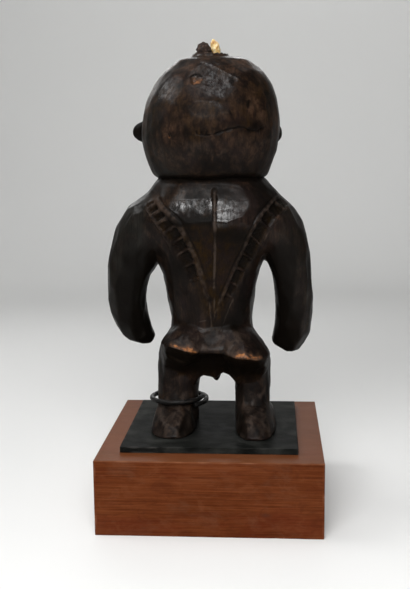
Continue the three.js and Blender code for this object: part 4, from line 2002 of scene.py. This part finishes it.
@dataclass
class MountPlate:
    """The square black plate under the feet."""

    block: Block = field(default_factory=lambda: Block("mount_plate", 0.0005, 44, uneven=0.008, knocks=0.15, seed=101))
    finish: BlackPaint = field(default_factory=BlackPaint)

    def build(self) -> bpy.types.Object:
        """Makes and paints the plate.

        Returns:
            The plate.
        """
        surface = self.block.shape()
        x, y, _ = surface.place.T
        # Painted shadow: the dust is left off the middle under the figure, so the plate is darker there.
        middle = bell(np.hypot((x - 2) / 46, (y - 10) / 60), 0, 1, 2.5)
        surface.stain(Mark.DUST, 1 - 0.85 * middle)
        surface.save_marks()
        return new_piece("plate_top", surface.mesh, self.finish.make(), "mount_plate", "mount_plate")


@dataclass
class Plinth:
    """The square hardwood plinth.

    Attributes:
        nick: A faint dark nick on the side toward the camera, in millimetres.
    """

    block: Block = field(default_factory=lambda: Block("plinth", 0.0008, 62, uneven=0.05, knocks=0.5, seed=111))
    finish: PlinthWood = field(default_factory=PlinthWood)
    nick: Point = (-47, 95, 20)

    def build(self) -> bpy.types.Object:
        """Makes and finishes the plinth.

        Returns:
            The plinth.
        """
        surface = self.block.shape()
        surface.stain(Mark.DARK, 0.9 * bell(surface.away(self.nick, (0.5, 1, 1)), 0, 2.2))
        # Marks the top face for its lighter colour: dust, and painted light from above.
        surface.stain(Mark.DUST, smoothstep(surface.place[:, 2], 63.6, 64.3))
        surface.save_marks()
        return new_piece("plinth_block", surface.mesh, self.finish.make(), "plinth", "plinth")


# -------- the studio


@dataclass(frozen=True)
class SoftBox:
    """One soft lamp.

    Attributes:
        name: Its name.
        place: Where it stands, in metres.
        aim: What it points at.
        size: Its width and height in metres.
        power: Its strength in watts.
        spread: How widely it throws its light, in degrees.
    """

    name: str
    place: Point
    aim: Point
    size: tuple[float, float]
    power: float
    spread: float

    def hang(self) -> bpy.types.Object:
        """Puts the lamp in the scene, out of the camera's sight.

        Returns:
            The lamp.
        """
        lamp = bpy.data.lights.new(self.name, "AREA")
        lamp.shape = "RECTANGLE"
        lamp.size, lamp.size_y = self.size
        lamp.energy, lamp.spread = self.power, math.radians(self.spread)
        holder = in_scene(self.name, lamp)
        holder.location = self.place
        holder.rotation_euler = (Vector(self.aim) - Vector(self.place)).to_track_quat("-Z", "Y").to_euler()
        holder.visible_camera = False
        return holder


@dataclass
class Studio:
    """A round studio: a pale paper floor that curves up into a wall all round, soft lamps and a pale room.

    Attributes:
        floor: Radius of the flat floor.
        bend: Radius of the curve between floor and wall.
        height: Height of the wall above the curve.
        steps: Steps round the curve.
        room: Brightness of the room.
        sky: Its colour.
        lamps: The soft lamps.
    """

    floor: float = 1.25
    bend: float = 0.55
    height: float = 1.6
    steps: int = 20
    room: float = 0.05
    sky: Colour = (0.92, 0.95, 1)
    lamps: tuple[SoftBox, ...] = (
        SoftBox("overhead_lamp", (0.20, 0.42, 1.40), (0, 0.36, 0), (1, 0.7), 1.8, 125),
        SoftBox("front_lamp", (0.05, 1.00, 0.72), (0, 0.28, 0), (0.9, 0.35), 4.1, 95),
        SoftBox("key_lamp", (-0.06, 1.10, 1.42), (0, 0, 0.2), (0.56, 0.24), 2.6, 140),
        SoftBox("side_lamp", (0.72, -0.12, 1.06), (0, 0, 0.36), (0.5, 0.5), 0.38, 50),
        SoftBox("back_lamp", (0, -0.60, 1.45), (0, -0.50, 0), (1.2, 0.7), 0.5, 130),
        SoftBox("wall_lamp", (0, -0.45, 1.50), (0, -1.70, 0.7), (1.2, 0.4), 3.8, 110),
        SoftBox("right_wall_lamp", (-0.70, -0.30, 1.10), (-0.5, -1.6, 0.8), (0.5, 0.5), 0.42, 80),
        SoftBox("left_wall_lamp", (0.80, -0.30, 0.90), (0.6, -1.5, 0.4), (0.5, 0.5), 0.3, 80),
        SoftBox("left_floor_lamp", (0.90, 0, 0.90), (0.5, -0.5, 0), (0.5, 0.5), 0.9, 80),
        SoftBox("face_lamp", (0.25, -1.12, 0.78), (0, 0, 0.25), (1.2, 0.6), 1.8, 110),
    )
    finish: StudioPaper = field(default_factory=StudioPaper)

    def sweep(self) -> bpy.types.Mesh:
        """Makes the floor and its wall.

        Returns:
            The mesh, facing inwards.
        """
        bm = bmesh.new()
        bmesh.ops.create_circle(bm, cap_ends=True, segments=96, radius=self.floor)
        rim = list(bm.edges)
        turns = [math.pi / 2 * step / self.steps for step in range(self.steps + 1)]
        levels = [(self.floor + self.bend * math.sin(a), self.bend * (1 - math.cos(a))) for a in turns]
        levels.append((self.floor + self.bend, self.bend + self.height))
        for (near, low), (far, high) in zip(levels, levels[1:]):
            rim, points = pull_out(bm, rim)
            bmesh.ops.scale(bm, vec=(far / near, far / near, 1.0), verts=points)
            bmesh.ops.translate(bm, vec=(0, 0, high - low), verts=points)
        bmesh.ops.recalc_face_normals(bm, faces=bm.faces)
        bm.faces.ensure_lookup_table()
        if bm.faces[0].normal.z < 0:
            bmesh.ops.reverse_faces(bm, faces=bm.faces)
        mesh = as_mesh(bm, "studio_sweep")
        mesh.materials.append(self.finish.make())
        mesh.polygons.foreach_set("use_smooth", [True] * len(mesh.polygons))
        return mesh

    def build(self) -> None:
        """Sets up the paper, the lamps and the room."""
        sweep = in_scene("studio_sweep", self.sweep())
        for lamp in self.lamps:
            lamp.hang()
        world = bpy.data.worlds.new("pale_room")
        world.use_nodes = True
        sky = world.node_tree.nodes["Background"]
        sky.inputs["Color"].default_value = (*self.sky, 1)
        sky.inputs["Strength"].default_value = self.room
        bpy.context.scene.world = world
        bpy.context.scene.view_settings.view_transform = "Standard"
        log.info("studio: sweep and %d lamps", len(self.lamps))


@dataclass
class PhotoCamera:
    """The camera at the photograph's place.

    Attributes:
        place: Where it stands, in metres.
        look: The direction it looks in.
        roll: Its roll in radians.
        lens: Its focal length on a 36 mm long side.
    """

    place: Point = (-0.05206, 0.83635, 0.32082)
    look: Point = (0.070607, -0.985185, -0.156286)
    roll: float = -0.009705
    lens: float = 58.04

    def build(self) -> bpy.types.Object:
        """Sets the camera up.

        Returns:
            The camera.
        """
        forward = Vector(self.look).normalized()
        right = forward.cross(Vector((0, 0, 1))).normalized()
        rise = right.cross(forward)
        cosine, sine = math.cos(self.roll), math.sin(self.roll)
        across, upward = right * cosine + rise * sine, rise * cosine - right * sine
        lens = bpy.data.cameras.new("photo_camera")
        lens.lens, lens.sensor_width, lens.sensor_fit = self.lens, 36, "AUTO"
        lens.clip_start, lens.clip_end = 0.01, 50
        holder = in_scene("photo_camera", lens)
        turn = Matrix((across, upward, -forward)).transposed()
        holder.matrix_world = Matrix.Translation(self.place) @ turn.to_4x4()
        bpy.context.scene.camera = holder
        log.info("camera at %s", self.place)
        return holder


def main() -> None:
    """Builds the object, piece by piece, and the studio round it."""
    logging.basicConfig(level=logging.INFO, format="%(name)s: %(message)s", stream=sys.stdout)
    PhotoCamera().build()
    Studio().build()
    for maker in (Plinth(), MountPlate(), CarvedFigure(), Anklet(), CrownFill(), CrownChip()):
        made = maker.build()
        log.info("%s is done: %s", type(maker).__name__, made)


if __name__ == "__main__":
    main()
